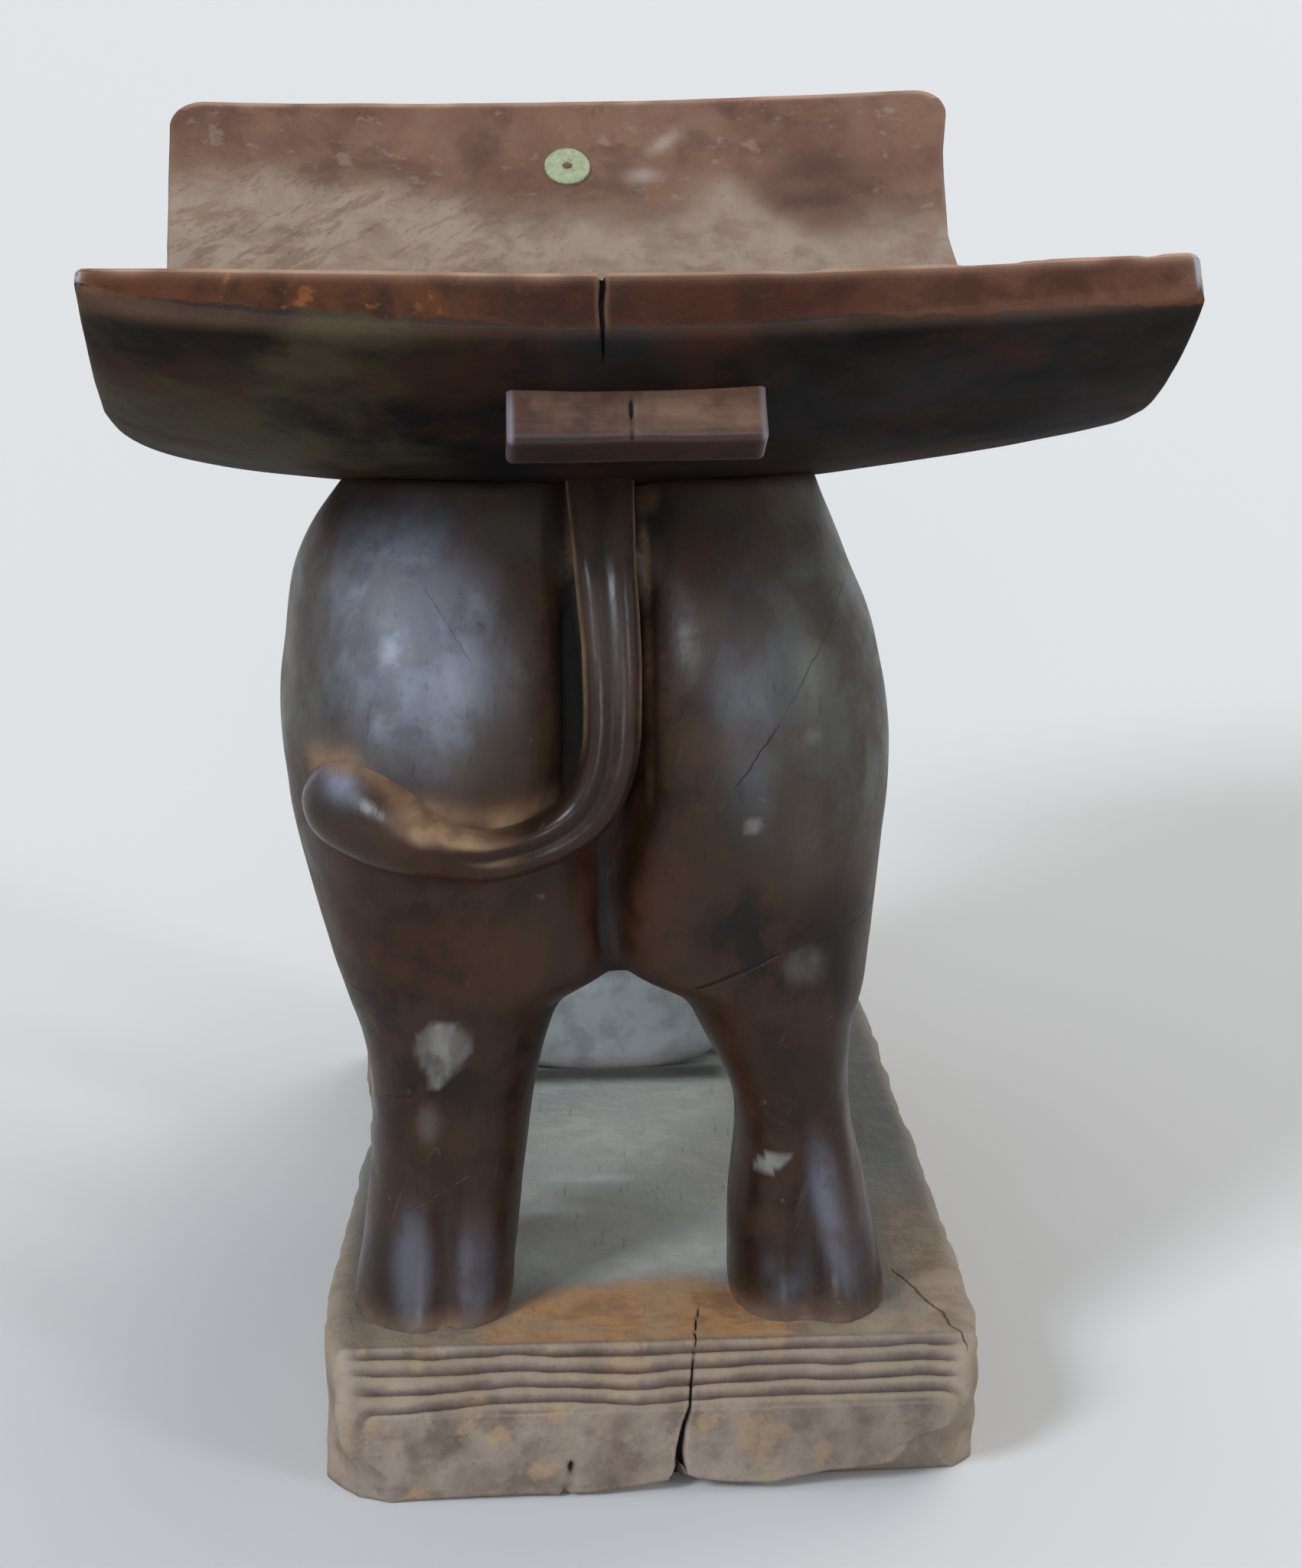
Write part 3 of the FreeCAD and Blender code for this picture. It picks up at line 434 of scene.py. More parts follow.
def make_grain_group():
    """Streaks along the log and short dark pores. Noise is read on Object coordinates that are
    squeezed along the grain, so that its spots are drawn out along it."""
    inputs = [("Fineness", "Float", 1.0), ("Squeeze", "Vector", (1, 0.12, 1))]
    outputs = [("Streaks", "Float"), ("Pores", "Float"), ("Height", "Float")]
    group, given, made = new_group("wood_grain", inputs, outputs)
    drawn = vectors(group, "MULTIPLY", object_place(group), given["Squeeze"])[0]
    broad = noise(group, drawn, times(group, given["Fineness"], 70), 4, 0.6)
    fine = noise(group, drawn, times(group, given["Fineness"], 480), 3, 0.6)
    join(group, made, {"Streaks": between(group, broad, 0.35, 0.68),
                       "Pores": between(group, fine, 0.60, 0.72),
                       "Height": times(group, broad, 0.6, times(group, fine, 0.4))})
    return group


def make_blotch_group():
    """Uneven patches with soft or hard edges: noise of a given size, cut at a level."""
    inputs = [("Scale", "Float", 20.0), ("Level", "Float", 0.5), ("Softness", "Float", 0.1),
              ("Seed", "Float", 0.0)]
    group, given, made = new_group("blotches", inputs, [("Mask", "Float")])
    cloud = noise(group, object_place(group), given["Scale"], 5, 0.62,
                  {"W": given["Seed"], "Distortion": 0.3}, noise_dimensions="4D")
    low = sums(group, "SUBTRACT", given["Level"], given["Softness"])
    high = sums(group, "ADD", given["Level"], given["Softness"])
    join(group, made, {"Mask": between(group, cloud, low, high)})
    return group


def make_scratch_group():
    """Fine scratches that run one way: noise on coordinates turned and drawn out along the run."""
    inputs = [("Turn", "Vector"), ("Scale", "Float", 90.0), ("Level", "Float", 0.6)]
    group, given, made = new_group("scratches", inputs, [("Mask", "Float")])
    turned = put(group, "ShaderNodeVectorRotate",
                 {"Vector": object_place(group), "Rotation": given["Turn"]},
                 rotation_type="EULER_XYZ").outputs[0]
    drawn = put(group, "ShaderNodeMapping", {"Vector": turned, "Scale": (0.06, 1, 1)}).outputs[0]
    strokes = noise(group, drawn, given["Scale"], 4, 0.7)
    high = sums(group, "ADD", given["Level"], 0.09)
    join(group, made, {"Mask": between(group, strokes, given["Level"], high)})
    return group


def make_crack_group():
    """A thin drying crack: where the surface passes through a wavering plane, near a centre. It
    narrows by the square root of the reach that is left."""
    inputs = [("Through", "Vector"), ("Facing", "Vector", (1, 0, 0)), ("Width", "Float", 0.0008),
              ("Reach", "Float", 0.03), ("Waver", "Float", 0.002)]
    group, given, made = new_group("drying_crack", inputs, [("Mask", "Float")])
    place = object_place(group)
    wave = sums(group, "SUBTRACT", noise(group, place, 70, 4, 0.6), 0.5)
    away = vectors(group, "SUBTRACT", place, given["Through"])[0]
    off = vectors(group, "DOT_PRODUCT", away, given["Facing"])["Value"]
    off = sums(group, "ABSOLUTE", sums(group, "ADD", off, times(group, wave, given["Waver"])))
    far = sums(group, "DIVIDE", vectors(group, "LENGTH", away)["Value"], given["Reach"])
    left = sums(group, "SUBTRACT", 1, far, clamp=True)
    width = times(group, given["Width"], sums(group, "POWER", left, 0.5))
    off = sums(group, "DIVIDE", off, sums(group, "MAXIMUM", width, 0.00002))
    line = sums(group, "SUBTRACT", 1, off, clamp=True)
    join(group, made, {"Mask": times(group, line, between(group, left, 0.0, 0.12))})
    return group


def make_wear_group():
    """Handling and age on any finish: proud places rubbed pale, hollow places dark with dirt, and
    pores. Each mask is weighed by its own share."""
    inputs = [("Colour", "Color"), ("Rubbed", "Color"), ("Dirt", "Color"),
              ("Proud", "Float"), ("Rubbed Share", "Float", 0.4),
              ("Hollow", "Float"), ("Dirt Share", "Float", 0.5),
              ("Pores", "Float"), ("Pore Share", "Float", 0.3)]
    group, given, made = new_group("wear_and_dirt", inputs, [("Colour", "Color")])
    colour = given["Colour"]
    for mask, share, tint in (("Proud", "Rubbed Share", "Rubbed"), ("Hollow", "Dirt Share", "Dirt"),
                              ("Pores", "Pore Share", "Dirt")):
        colour = layer(group, colour, given[tint], given[mask], given[share])
    join(group, made, {"Colour": colour})
    return group


grain_group, blotch_group, scratch_group = make_grain_group(), make_blotch_group(), make_scratch_group()
crack_group, wear_group = make_crack_group(), make_wear_group()


def use(tree, group, **inputs):
    """Places one of the shared groups in a material with its own values; gives its outputs."""
    placed = put(tree, "ShaderNodeGroup", node_tree=group)
    join(tree, placed, {name.replace("_", " "): given for name, given in inputs.items()})
    return placed.outputs


def blotch(tree, scale, level, softness, seed):
    """A mask of uneven patches."""
    return use(tree, blotch_group, Scale=scale, Level=level, Softness=softness, Seed=seed)[0]


def worn_colour(tree, colour, pores, rubbed, rubbed_share, dirt, dirt_share, pore_share):
    """The colour after wear: reads the piece's own proud and hollow masks."""
    return use(tree, wear_group, Colour=colour, Proud="proud", Rubbed=rubbed,
               Rubbed_Share=rubbed_share, Hollow="hollow", Dirt=dirt, Dirt_Share=dirt_share,
               Pores=pores, Pore_Share=pore_share)[0]


def coat(tree, shader, colour, roughness, relief, depth, specular=0.5):
    """Gives the shader its colour and roughness, and lets a relief, worth a depth in metres, tilt
    the surface."""
    bump = put(tree, "ShaderNodeBump", {"Height": relief, "Distance": depth, "Strength": 1.0})
    join(tree, shader, {"Base Color": colour, "Roughness": roughness, "Normal": bump.outputs[0]})
    shader.inputs["Specular IOR Level"].default_value = specular


def make_seat_finish(name, specular, dullness):
    """Red-brown, dusty and scored above; orange-brown, worn bands on the ends; blue-black with
    olive patches below. Each comes in by a mask on the mesh."""
    material, tree, shader = new_material(name)
    streaks, pores, grain_height = use(tree, grain_group, Fineness=1.0)
    large = blotch(tree, 14, 0.52, 0.14, 1.0)
    small = blotch(tree, 60, 0.53, 0.12, 4.0)
    flecks = blotch(tree, 110, 0.62, 0.05, 7.0)
    scored = use(tree, scratch_group, Turn=(0, 0, -0.95), Scale=150, Level=0.50)[0]
    across = object_axis(tree, 0)
    red = shade(tree, large, (0.172, 0.088, 0.053), (0.108, 0.047, 0.028))
    red = layer(tree, red, (0.21, 0.125, 0.09), streaks, 0.30)
    dusty = times(tree, "dust", times(tree, small, -0.50, times(tree, streaks, -0.35, 1.2)))
    scored_left = times(tree, scored, between(tree, across, 0.03, -0.06))
    dusty = times(tree, dusty, times(tree, scored_left, -0.5, 1.0), clamp=True)
    speckled = times(tree, flecks, 0.35)
    smoked = blotch(tree, 30, 0.56, 0.08, 9.0)
    red = layer(tree, red, (0.070, 0.026, 0.016), smoked, 0.65)
    top_colour = shade(tree, sums(tree, "MAXIMUM", dusty, speckled), red, (0.290, 0.222, 0.168))
    top_colour = layer(tree, top_colour, (0.060, 0.022, 0.013), "stain", 0.95)
    chalky = times(tree, "chalk", times(tree, small, -0.4, 0.8))
    top_colour = layer(tree, top_colour, (0.34, 0.26, 0.22), chalky)
    left_band = shade(tree, small, (0.075, 0.024, 0.008), (0.026, 0.009, 0.004))
    left_band = layer(tree, left_band, (0.21, 0.075, 0.020), flecks, 0.7)
    middle_band = shade(tree, small, (0.042, 0.009, 0.002), (0.024, 0.005, 0.001))
    right_band = shade(tree, small, (0.090, 0.034, 0.018), (0.046, 0.015, 0.007))
    band_colour = shade(tree, between(tree, across, -0.055, -0.015), left_band, middle_band)
    band_colour = shade(tree, between(tree, across, 0.035, 0.085), band_colour, right_band)
    olive = blotch(tree, 22, 0.49, 0.12, 11.0)
    haze = blotch(tree, 18, 0.50, 0.14, 15.0)
    under = shade(tree, large, (0.015, 0.010, 0.007), (0.005, 0.004, 0.004))
    olive_share = times(tree, olive, between(tree, across, -0.03, -0.085))
    under = layer(tree, under, (0.060, 0.050, 0.026), olive_share, 0.70)
    haze_share = times(tree, haze, between(tree, across, -0.06, 0.0))
    under = layer(tree, under, (0.024, 0.025, 0.028), haze_share, 0.45)
    rust = blotch(tree, 26, 0.56, 0.08, 19.0)
    under = layer(tree, under, (0.040, 0.014, 0.008), rust, 0.6)
    edge_noise = times(tree, small, 0.5, times(tree, large, 0.3, -0.40))
    banded = between(tree, sums(tree, "ADD", "band", edge_noise), 0.30, 0.62)
    colour = shade(tree, banded, under, band_colour)
    colour = layer(tree, colour, top_colour, "above")
    colour = worn_colour(tree, colour, pores, (0.30, 0.17, 0.11), 0.22, (0.014, 0.008, 0.006), 0.35,
                         0.22)
    # Painted highlights on the rim, over its worn wood, and on the tips.
    colour = layer(tree, colour, (0.42, 0.25, 0.17), "rim", 0.95)
    colour = layer(tree, colour, (0.42, 0.40, 0.42), "tips", 0.8)
    colour = layer(tree, colour, (0.004, 0.003, 0.003), between(tree, "split", 0.25, 0.7))
    gloss = times(tree, large, 0.08, times(tree, dusty, 0.25, times(tree, "above", 0.20, dullness)))
    coat(tree, shader, colour, gloss, times(tree, scored, -0.25, grain_height), 0.00022, specular)
    return material


# The underside past the bands has never been polished, so its finish is the same but duller.
seat_wood.data.materials.append(make_seat_finish("seat_finish", 0.17, 0.32))
seat_wood.data.materials.append(make_seat_finish("seat_underside", 0.05, 0.62))
below_band = (rim_depth[faces].mean(1) > 19) & (lattice[faces, 2] < 0.999).all(1)
on_underside = (lattice[faces, 2] < 0.001).all(1) | below_band
seat_wood.data.polygons.foreach_set("material_index", on_underside.astype(np.int32))
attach(seat_wood, "root")
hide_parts("seat")


# Two plain lugs left standing from the seat's underside, one below each tip. Fingers have worn
# their edges round. Their outer faces are painted pale as lit and their other faces dark as
# shaded, and a highlight is painted down each end.
LUG_HALF_WIDE, LUG_HALF_LONG, LUG_PROUD, LUG_SUNK, LUG_MIDDLE = 35.0, 8.0, 14.0, 4.0, -2.0
LUG_RUN = MIDDLE_RUN + RISE_RADIUS * (math.radians(32.09) - MIDDLE_SWING)


def make_lug(name, end):
    """A block with eased edges: each point is pulled to within a radius of an inner block. It is
    then laid along the sweep, under the seat's belly."""
    low = np.array((-LUG_HALF_WIDE, -LUG_HALF_LONG, -LUG_SUNK))
    high = np.array((LUG_HALF_WIDE, LUG_HALF_LONG, LUG_PROUD))
    fine = (0, 0.5, 1.0, 1.6, 2.4, 3.4)
    lattice, faces = block_skin(*(ruled(low[n], high[n], 1.3, fine) for n in range(3)))
    radius = 2.0
    core = np.clip(lattice, low + radius, high - radius)
    away = lattice - core
    length = np.linalg.norm(away, axis=1, keepdims=True)
    points = core + away / np.maximum(length, 1e-9) * np.minimum(length, radius)
    points = points + 0.3 * np.stack([rough(points, 16, 31 + n) for n in range(3)], 1)
    cleft = np.clip(1.2 - np.abs(points[:, 0] + 1.2 - 0.7 * rough(points, 5, 36)) / 0.5, 0, 1)
    cleft = cleft * ease(end * points[:, 1], 5, 7.5) * ease(points[:, 2], -1, 3) * (end < 0)
    points[:, 1] -= end * 0.8 * cleft
    y, z = on_sweep(end * LUG_RUN + points[:, 1], SEAT_BELLY - 0.4 + points[:, 2])
    lug = piece_from(name, np.stack([LUG_MIDDLE + points[:, 0], y, z], 1), faces[:, ::-1].tolist())
    hollow, proud = hollow_and_proud(lug, 8, 0.35)
    # Where light is painted: the outer face as lit, and a highlight down each end.
    outer = ease(end * lattice[:, 1], LUG_HALF_LONG - 2.5, LUG_HALF_LONG - 0.5)
    outer = outer * ease(-lattice[:, 2], -LUG_PROUD + 0.5, -LUG_PROUD + 4)
    ends = ease(np.abs(lattice[:, 0]), LUG_HALF_WIDE - 2.2, LUG_HALF_WIDE - 0.8)
    ends = ends * ease(end * lattice[:, 1], 4, 7)
    painted(lug, hollow=hollow, proud=proud, outer=outer, ends=ends, cleft=cleft)
    return lug


material, tree, shader = new_material("lug_finish")
streaks, pores, grain_height = use(tree, grain_group, Fineness=1.3, Squeeze=(0.15, 1, 1))
small = blotch(tree, 70, 0.52, 0.14, 2.0)
# Lit and shaded copies of the wood: pale as lit on the outer face, dark as shaded elsewhere.
dark = shade(tree, small, (0.034, 0.016, 0.011), (0.014, 0.009, 0.008))
pale = shade(tree, small, (0.195, 0.112, 0.076), (0.100, 0.048, 0.031))
colour = layer(tree, dark, pale, "outer", times(tree, streaks, -0.5, 1.0))
colour = worn_colour(tree, colour, pores, (0.22, 0.14, 0.11), 0.30, (0.015, 0.009, 0.007), 0.4, 0.25)
# A painted highlight down each end.
colour = layer(tree, colour, (0.26, 0.25, 0.28), "ends", 0.6)
colour = layer(tree, colour, (0.005, 0.003, 0.003), between(tree, "cleft", 0.3, 0.7))
coat(tree, shader, colour, times(tree, small, 0.12, 0.36), grain_height, 0.0002, 0.25)
for name, end, node in (("rear_lug_wood", -1, "rear_lug"), ("front_lug_wood", 1, "front_lug")):
    lug = make_lug(name, end)
    lug.data.materials.append(material)
    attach(lug, "root")
    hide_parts(node)


# The elephant: the heart of the log, carved in the round. Its haunches are two full bulges that
# narrow to round shins, its back carries the seat, and its trunk curls back between the forelegs
# and lies on the slab. The whole is one piece of wood, so its parts are fused into one skin.
def curve_through(rows, count):
    """Values between rows, evenly spaced by row: a Catmull-Rom curve through all of them."""
    rows = np.array(rows, float)
    ends = 2 * rows[0] - rows[1], 2 * rows[-1] - rows[-2]
    padded = np.vstack([ends[0], rows, ends[1]])
    at = np.linspace(0, len(rows) - 1, count)
    first = np.minimum(at.astype(int), len(rows) - 2)
    t = (at - first)[:, None]
    a, b, c, d = (padded[first + n] for n in range(4))
    bend, twist = 2 * a - 5 * b + 4 * c - d, 3 * b - a - 3 * c + d
    return b + t / 2 * (c - a) + t ** 2 / 2 * bend + t ** 3 / 2 * twist


def closed(rings, ends):
    """A closed skin: rings of points, each joined to the next, and a point that closes each end."""
    count, sides = rings.shape[:2]
    points = np.vstack([rings.reshape(-1, 3), ends])
    number = np.arange(count * sides).reshape(count, sides)
    after = np.roll(number, -1, axis=1)
    body = np.stack([number[:-1], after[:-1], after[1:], number[1:]], -1).reshape(-1, 4)
    start = np.stack([after[0], number[0], np.full(sides, count * sides)], 1)
    finish = np.stack([number[-1], after[-1], np.full(sides, count * sides + 1)], 1)
    return points, [*body.tolist(), *start.tolist(), *finish.tolist()]


def limb(rows, axis="x", count=90, sides=56, fullness=2.0):
    """A closed skin through elliptical sections. Each row is a centre, two half widths and the
    lean of its plane, in degrees, about the x or the y axis. A fullness above 2 squares it."""
    x, y, z, wide, deep, lean = curve_through(rows, count).T
    turn, lean = np.linspace(0, 2 * np.pi, sides, endpoint=False), np.radians(lean)
    round_x = np.sign(np.cos(turn)) * np.abs(np.cos(turn)) ** (2 / fullness)
    round_y = np.sign(np.sin(turn)) * np.abs(np.sin(turn)) ** (2 / fullness)
    out, over = wide[:, None] * round_x, deep[:, None] * round_y
    if axis == "x":
        ring = out, over * np.cos(lean)[:, None], over * np.sin(lean)[:, None]
    else:
        ring = out * np.cos(lean)[:, None], over, -out * np.sin(lean)[:, None]
    rings = np.stack([centre[:, None] + part for centre, part in zip((x, y, z), ring)], -1)
    return closed(rings, rings[[0, -1]].mean(1))


def fused(name, skins, grain_size, rounds):
    """One skin round several closed ones: they are joined, remeshed on a lattice of the given
    size in millimetres and evened a little, as a rasp leaves it."""
    points, faces, first = [], [], 0
    for one, its_faces in skins:
        points.append(one)
        faces += [[first + number for number in face] for face in its_faces]
        first += len(one)
    parts = piece_from(name + "_parts", np.vstack(points), faces)
    remesh = parts.modifiers.new("fuse", "REMESH")
    remesh.mode, remesh.voxel_size, remesh.use_smooth_shade = "VOXEL", grain_size * MM, True
    bpy.context.view_layer.update()
    remeshed = parts.evaluated_get(bpy.context.evaluated_depsgraph_get())
    whole = bpy.data.meshes.new_from_object(remeshed)
    bpy.data.objects.remove(parts)
    whole.name = name
    whole.shade_smooth()
    made = bpy.data.objects.new(name, whole)
    bpy.context.scene.collection.objects.link(made)
    reshape(made, evened(made, points_of(made), rounds))
    return made


def level(rows):
    """Rows of height, x, y and two half widths, as rows for a limb."""
    return [(x, y, z, wide, deep, 0) for z, x, y, wide, deep in rows]


def upright(rows):
    """Rows of y, x, height and two half widths, as rows for a limb."""
    return [(x, y, z, wide, deep, 90) for y, x, z, wide, deep in rows]


LEFT_HIND = [
    (42, -59.5, -150.2, 24.5, 30.0), (66.5, -56.5, -146.1, 23.5, 28.0),
    (101.5, -52.7, -143.6, 23.8, 27.5), (126.5, -51.5, -140.7, 27.5, 32.5),
    (140, -50.8, -139, 32.7, 36), (151.5, -43.6, -137.2, 43.9, 39.0),
    (176.5, -47.5, -131.6, 46.8, 47.5), (201.5, -51.5, -124.7, 48.5, 56.5),
    (224.0, -52.0, -119.2, 50.0, 61.0), (249.0, -51.7, -116.7, 47.8, 56.5),
    (271.4, -51.5, -117.2, 43.5, 43.0), (293.9, -47.0, -116.7, 33.0, 26.5)]
RIGHT_HIND = [
    (42, 55.0, -150.2, 24.0, 30.0), (66.5, 53.0, -146.1, 22.0, 28.0),
    (101.5, 50.5, -143.6, 17.5, 27.5), (126.5, 45.3, -140.7, 22.3, 32.5),
    (140, 43.2, -139, 28, 36), (151.5, 34.0, -137.2, 39.0, 39.0),
    (176.5, 34.3, -131.6, 41.8, 47.5), (201.5, 36.2, -124.7, 43.4, 56.5),
    (224.0, 35.4, -119.2, 44.0, 61.0), (249.0, 34.0, -116.7, 40.6, 56.5),
    (271.4, 32.0, -117.2, 33.6, 43.0), (293.9, 32.5, -116.7, 24.5, 26.5)]
CROTCH = [
    (145, -5, -125, 20, 20), (160, -5, -127, 22, 27), (185, -6, -126, 20, 33),
    (208, -6, -120, 14, 34)]
FORELEG = [
    (42, -56.0, 94.1, 23.0, 31.0), (50, -56.0, 94.1, 22.8, 30.6), (60.4, -56.0, 94.1, 20.2, 27.3),
    (98.1, -55.1, 94.1, 19.3, 26.6), (142.4, -53.2, 94.1, 22.1, 31.5),
    (178.5, -48.6, 94.1, 25.3, 35.0), (208.0, -39.4, 94.1, 20.7, 31.5)]
TORSO = [
    (-153.0, -4.0, 240.0, 16.0, 38.0), (-144.0, -4.2, 226.0, 38.0, 55.0),
    (-121.9, -6.0, 213.1, 75.7, 75.2), (-77.8, -6.0, 213.1, 85.4, 80.0),
    (-18.9, -5.1, 213.1, 88.0, 80.0), (39.9, -4.2, 213.9, 86.7, 80.0),
    (89.9, -2.8, 215.0, 77.4, 75.2), (128.1, -2.1, 217.1, 56.3, 60.8)]
HEAD = [
    (111.9, -2.0, 220.5, 43.7, 49.6), (134.0, -2.0, 219.3, 50.4, 57.1),
    (164.8, -2.0, 218.1, 56.0, 62.0), (193.5, -2.0, 214.3, 49.3, 54.6),
    (213.4, -2.0, 208.1, 34.7, 40.9), (222.2, -2.0, 204.4, 21.3, 26.0)]
TRUNK = [
    (-1, 185.8, 210.1, 28.7, 27, 0), (-1, 193.8, 170.2, 28.7, 26.5, 0),
    (-1, 193.8, 130.4, 29.1, 23.2, -14), (-0.2, 179.3, 95.5, 30.3, 21.1, -38),
    (1.05, 158.4, 71.4, 32.8, 19.4, -62), (2.7, 132.5, 62.6, 36.1, 19.4, -84),
    (4.7, 100.7, 61.6, 39.8, 20, -90), (6, 71.9, 61.3, 41, 20, -90),
    (6.4, 57.5, 60.9, 41, 18.9, -90), (6.4, 52.4, 59.9, 37.5, 16.4, -90),
    (6.4, 50.0, 59.5, 30.0, 11.0, -90)]
TUSK = [
    (195.9, 177.1, 7.5, 20), (202.8, 156.6, 6.9, 28), (214.5, 137.4, 5.5, 38),
    (229.0, 121.8, 3.1, 48)]
EAR = [
    (-52, 142, 269, 3.0, 8, 0), (-55, 140, 262, 5.5, 22, 0), (-56, 141, 248, 6.0, 31, 0),
    (-56.5, 141, 230, 6.0, 35, 0), (-57, 140, 210, 5.8, 31, 0), (-57.5, 138, 190, 5.2, 22, 0),
    (-58, 137, 176, 4.4, 14, 0), (-58, 137, 169, 2.4, 7, 0)]


def mirrored(rows, middle):
    """Rows for a limb on the other side of a middle: its x is twice the middle less x."""
    return [(2 * middle - x, *rest) for x, *rest in rows]



# The haunches meet in a crease, and CROTCH fills the gap that their round skins leave under it. The
# feet and the trunk's tip end a little below the slab's top.
FEET_HEIGHT = 42.5
skins = [
    limb(level(LEFT_HIND), count=120, sides=80, fullness=2.15),
    limb(level(RIGHT_HIND), count=120, sides=80, fullness=2.5),
    limb(level(FORELEG)), limb(mirrored(level(FORELEG), -1)),
    limb(upright(TORSO)[::-1], sides=80), limb(upright(HEAD)[::-1]),
    limb(TRUNK, fullness=2.9), limb(level(CROTCH), count=50, sides=48),
    limb([(-36, y, z, r, r, lean) for y, z, r, lean in TUSK], sides=28),
    limb([(32, y, z, r, r, lean) for y, z, r, lean in TUSK], sides=28),
    limb(EAR, sides=40), limb(mirrored(EAR, -2), sides=40),
]
elephant_wood = fused("elephant_wood", skins, 2.15, 4)
points, normals = points_of(elephant_wood), normals_of(elephant_wood)
x, y, z = points.T
behind = ease(-normals[:, 1], 0.15, 0.6) * ease(-y, 80, 110)
shift = 0.8 * rough_layers(points, 34, 51) + 0.25 * rough(points, 16, 59) + 0.10 * rough(points, 9, 57)

# Grooves between the toes of the hind feet, and one ridge. Then the crease and the cleft under it.
for height, middle, *fade in ((-3.2, -55.5, -112, -62), (-2.6, 51.7, -120, -62), (1.6, 63.5, -135, -72)):
    shift += height * hump(x, middle, 5.0) * ease(-z, *fade) * behind
shift -= 6.0 * hump(x, -15.0, 3.0) * ease(z, 192, 212) * ease(-z, -288, -255) * ease(-y, 90, 130)
shift -= 2.0 * hump(x, -7.5, 1.8) * ease(z, 150, 165) * ease(-z, -215, -200) * ease(-y, 120, 140)

# Eyes: a bead in a ring. Ears: hollow inside a raised rim. Folds: rings round the trunk's bend.
eye = np.hypot((y - 181) / 1.5, z - 229) * (np.abs(x + 2) > 25)
shift += (y > 120) * (1.6 * hump(eye, 0, 3.2) - 1.1 * hump(eye, 5.6, 1.3)) * (eye > 0)
ear = np.hypot((y - 141) / 33, (z - 219) / 49)
outside = ease(np.sign(x + 2) * normals[:, 0], 0.3, 0.8) * ease(np.abs(x + 2), 50, 54)
shift -= outside * (ear < 1.3) * (2.8 * hump(ear, 0.45, 0.28) - 1.2 * hump(ear, 0.86, 0.10))
fold = (np.sin(np.arctan2(z - 140, y - 100) * 34) > 0.78) * ease(y, 120, 140)
shift -= 0.8 * fold * ease(-z, -190, -170) * ease(-np.abs(x), -40, -20)
points = points + normals * shift[:, None]
points[:, 2] = np.maximum(points[:, 2], FEET_HEIGHT)
reshape(elephant_wood, points)
normals = normals_of(elephant_wood)
x, y, z = points.T
hollow, proud = hollow_and_proud(elephant_wood, 40, 1.6)


def spot(middle_x, middle_z, wide, tall):
    """A soft-edged oval mark on the elephant's hindquarters, seen from behind."""
    share = ((x - middle_x) / wide) ** 2 + ((z - middle_z) / tall) ** 2
    return np.exp(-share ** 2) * ease(-y, 95, 120) * ease(-normals[:, 1], -0.1, 0.2)


def spots(*rows):
    """The sum of several such marks, each times the share in front of it."""
    return sum(share * spot(*place) for share, *place in rows)


# The hollows are dark with dirt, and the crease, the cleft under it and the crotch are painted
# darker still, as shade. Dust lies on the trunk and the feet, and where the trunk lies under the
# body its dust is painted paler, as light.
rest = ease(normals[:, 2], 0.15, 0.8)
on_trunk = ease(-np.abs(x), -52, -44) * ease(-z, -118, -66) * ease(y, 30, 50)
# Painted shade in the crease, the cleft under it and the crotch, carried by the hollow mask.
crease = hump(x, -15.0, 4.0) * ease(z, 192, 205) * ease(-z, -292, -262) * ease(-y, 90, 110)
hollow = np.maximum(hollow, 1.3 * crease)
hollow = np.maximum(hollow * (1 - 0.6 * spot(-5, 172, 12, 34)), 0.5 * spot(-3, 148, 13, 8))
hollow = np.maximum(hollow, 0.9 * spot(-7.5, 178, 1.8, 28))
dust = np.maximum(on_trunk * (0.62 + 0.38 * rest), hollow * 0.12)
dust = np.maximum(dust, ease(-z, -48, -43) * 0.5)
# Painted light: the dust on the trunk under the body is made paler, standing in for light there.
under_body = on_trunk * ease(-z, -100, -84)

# A grey-green film lies over the haunches, and ochre earth on the ledge inside the tail's curl, to
# the right of the crease and round the feet.
film = 0.55 * ease(-x, 22, 50) * ease(z, 196, 226) * ease(-z, -285, -262)
film = film + 0.95 * ease(x, 12, 62) * ease(z, 165, 215)
film = np.maximum(film, 0.35 * ease(x, 10, 30) * ease(z, 235, 265)) * ease(-y, 10, 90)
film = np.maximum(film, 0.30 * ease(z, 262, 284) + 0.25 * ease(np.abs(x), 70, 84) * (y > -60))
curl = np.hypot((x + 40) / 1.25, z - 222)
ochre = hump(curl, 20.5, 4.5) * ease(-z, -214, -204) * ease(-x, 14, 20) * ease(-y, 120, 140)
ochre *= 0.6 + 0.6 * rough(points, 9, 75)
ochre += 0.5 * spot(5.6, 250, 1.2, 45) * (0.6 + 0.7 * rough(points, 7, 76))
ochre += spots((0.7, -85, 216, 9, 7), (1, 6, 289, 4, 5), (0.9, -15, 283, 2.2, 12))
ochre += 0.35 * ease(-z, -52, -44)

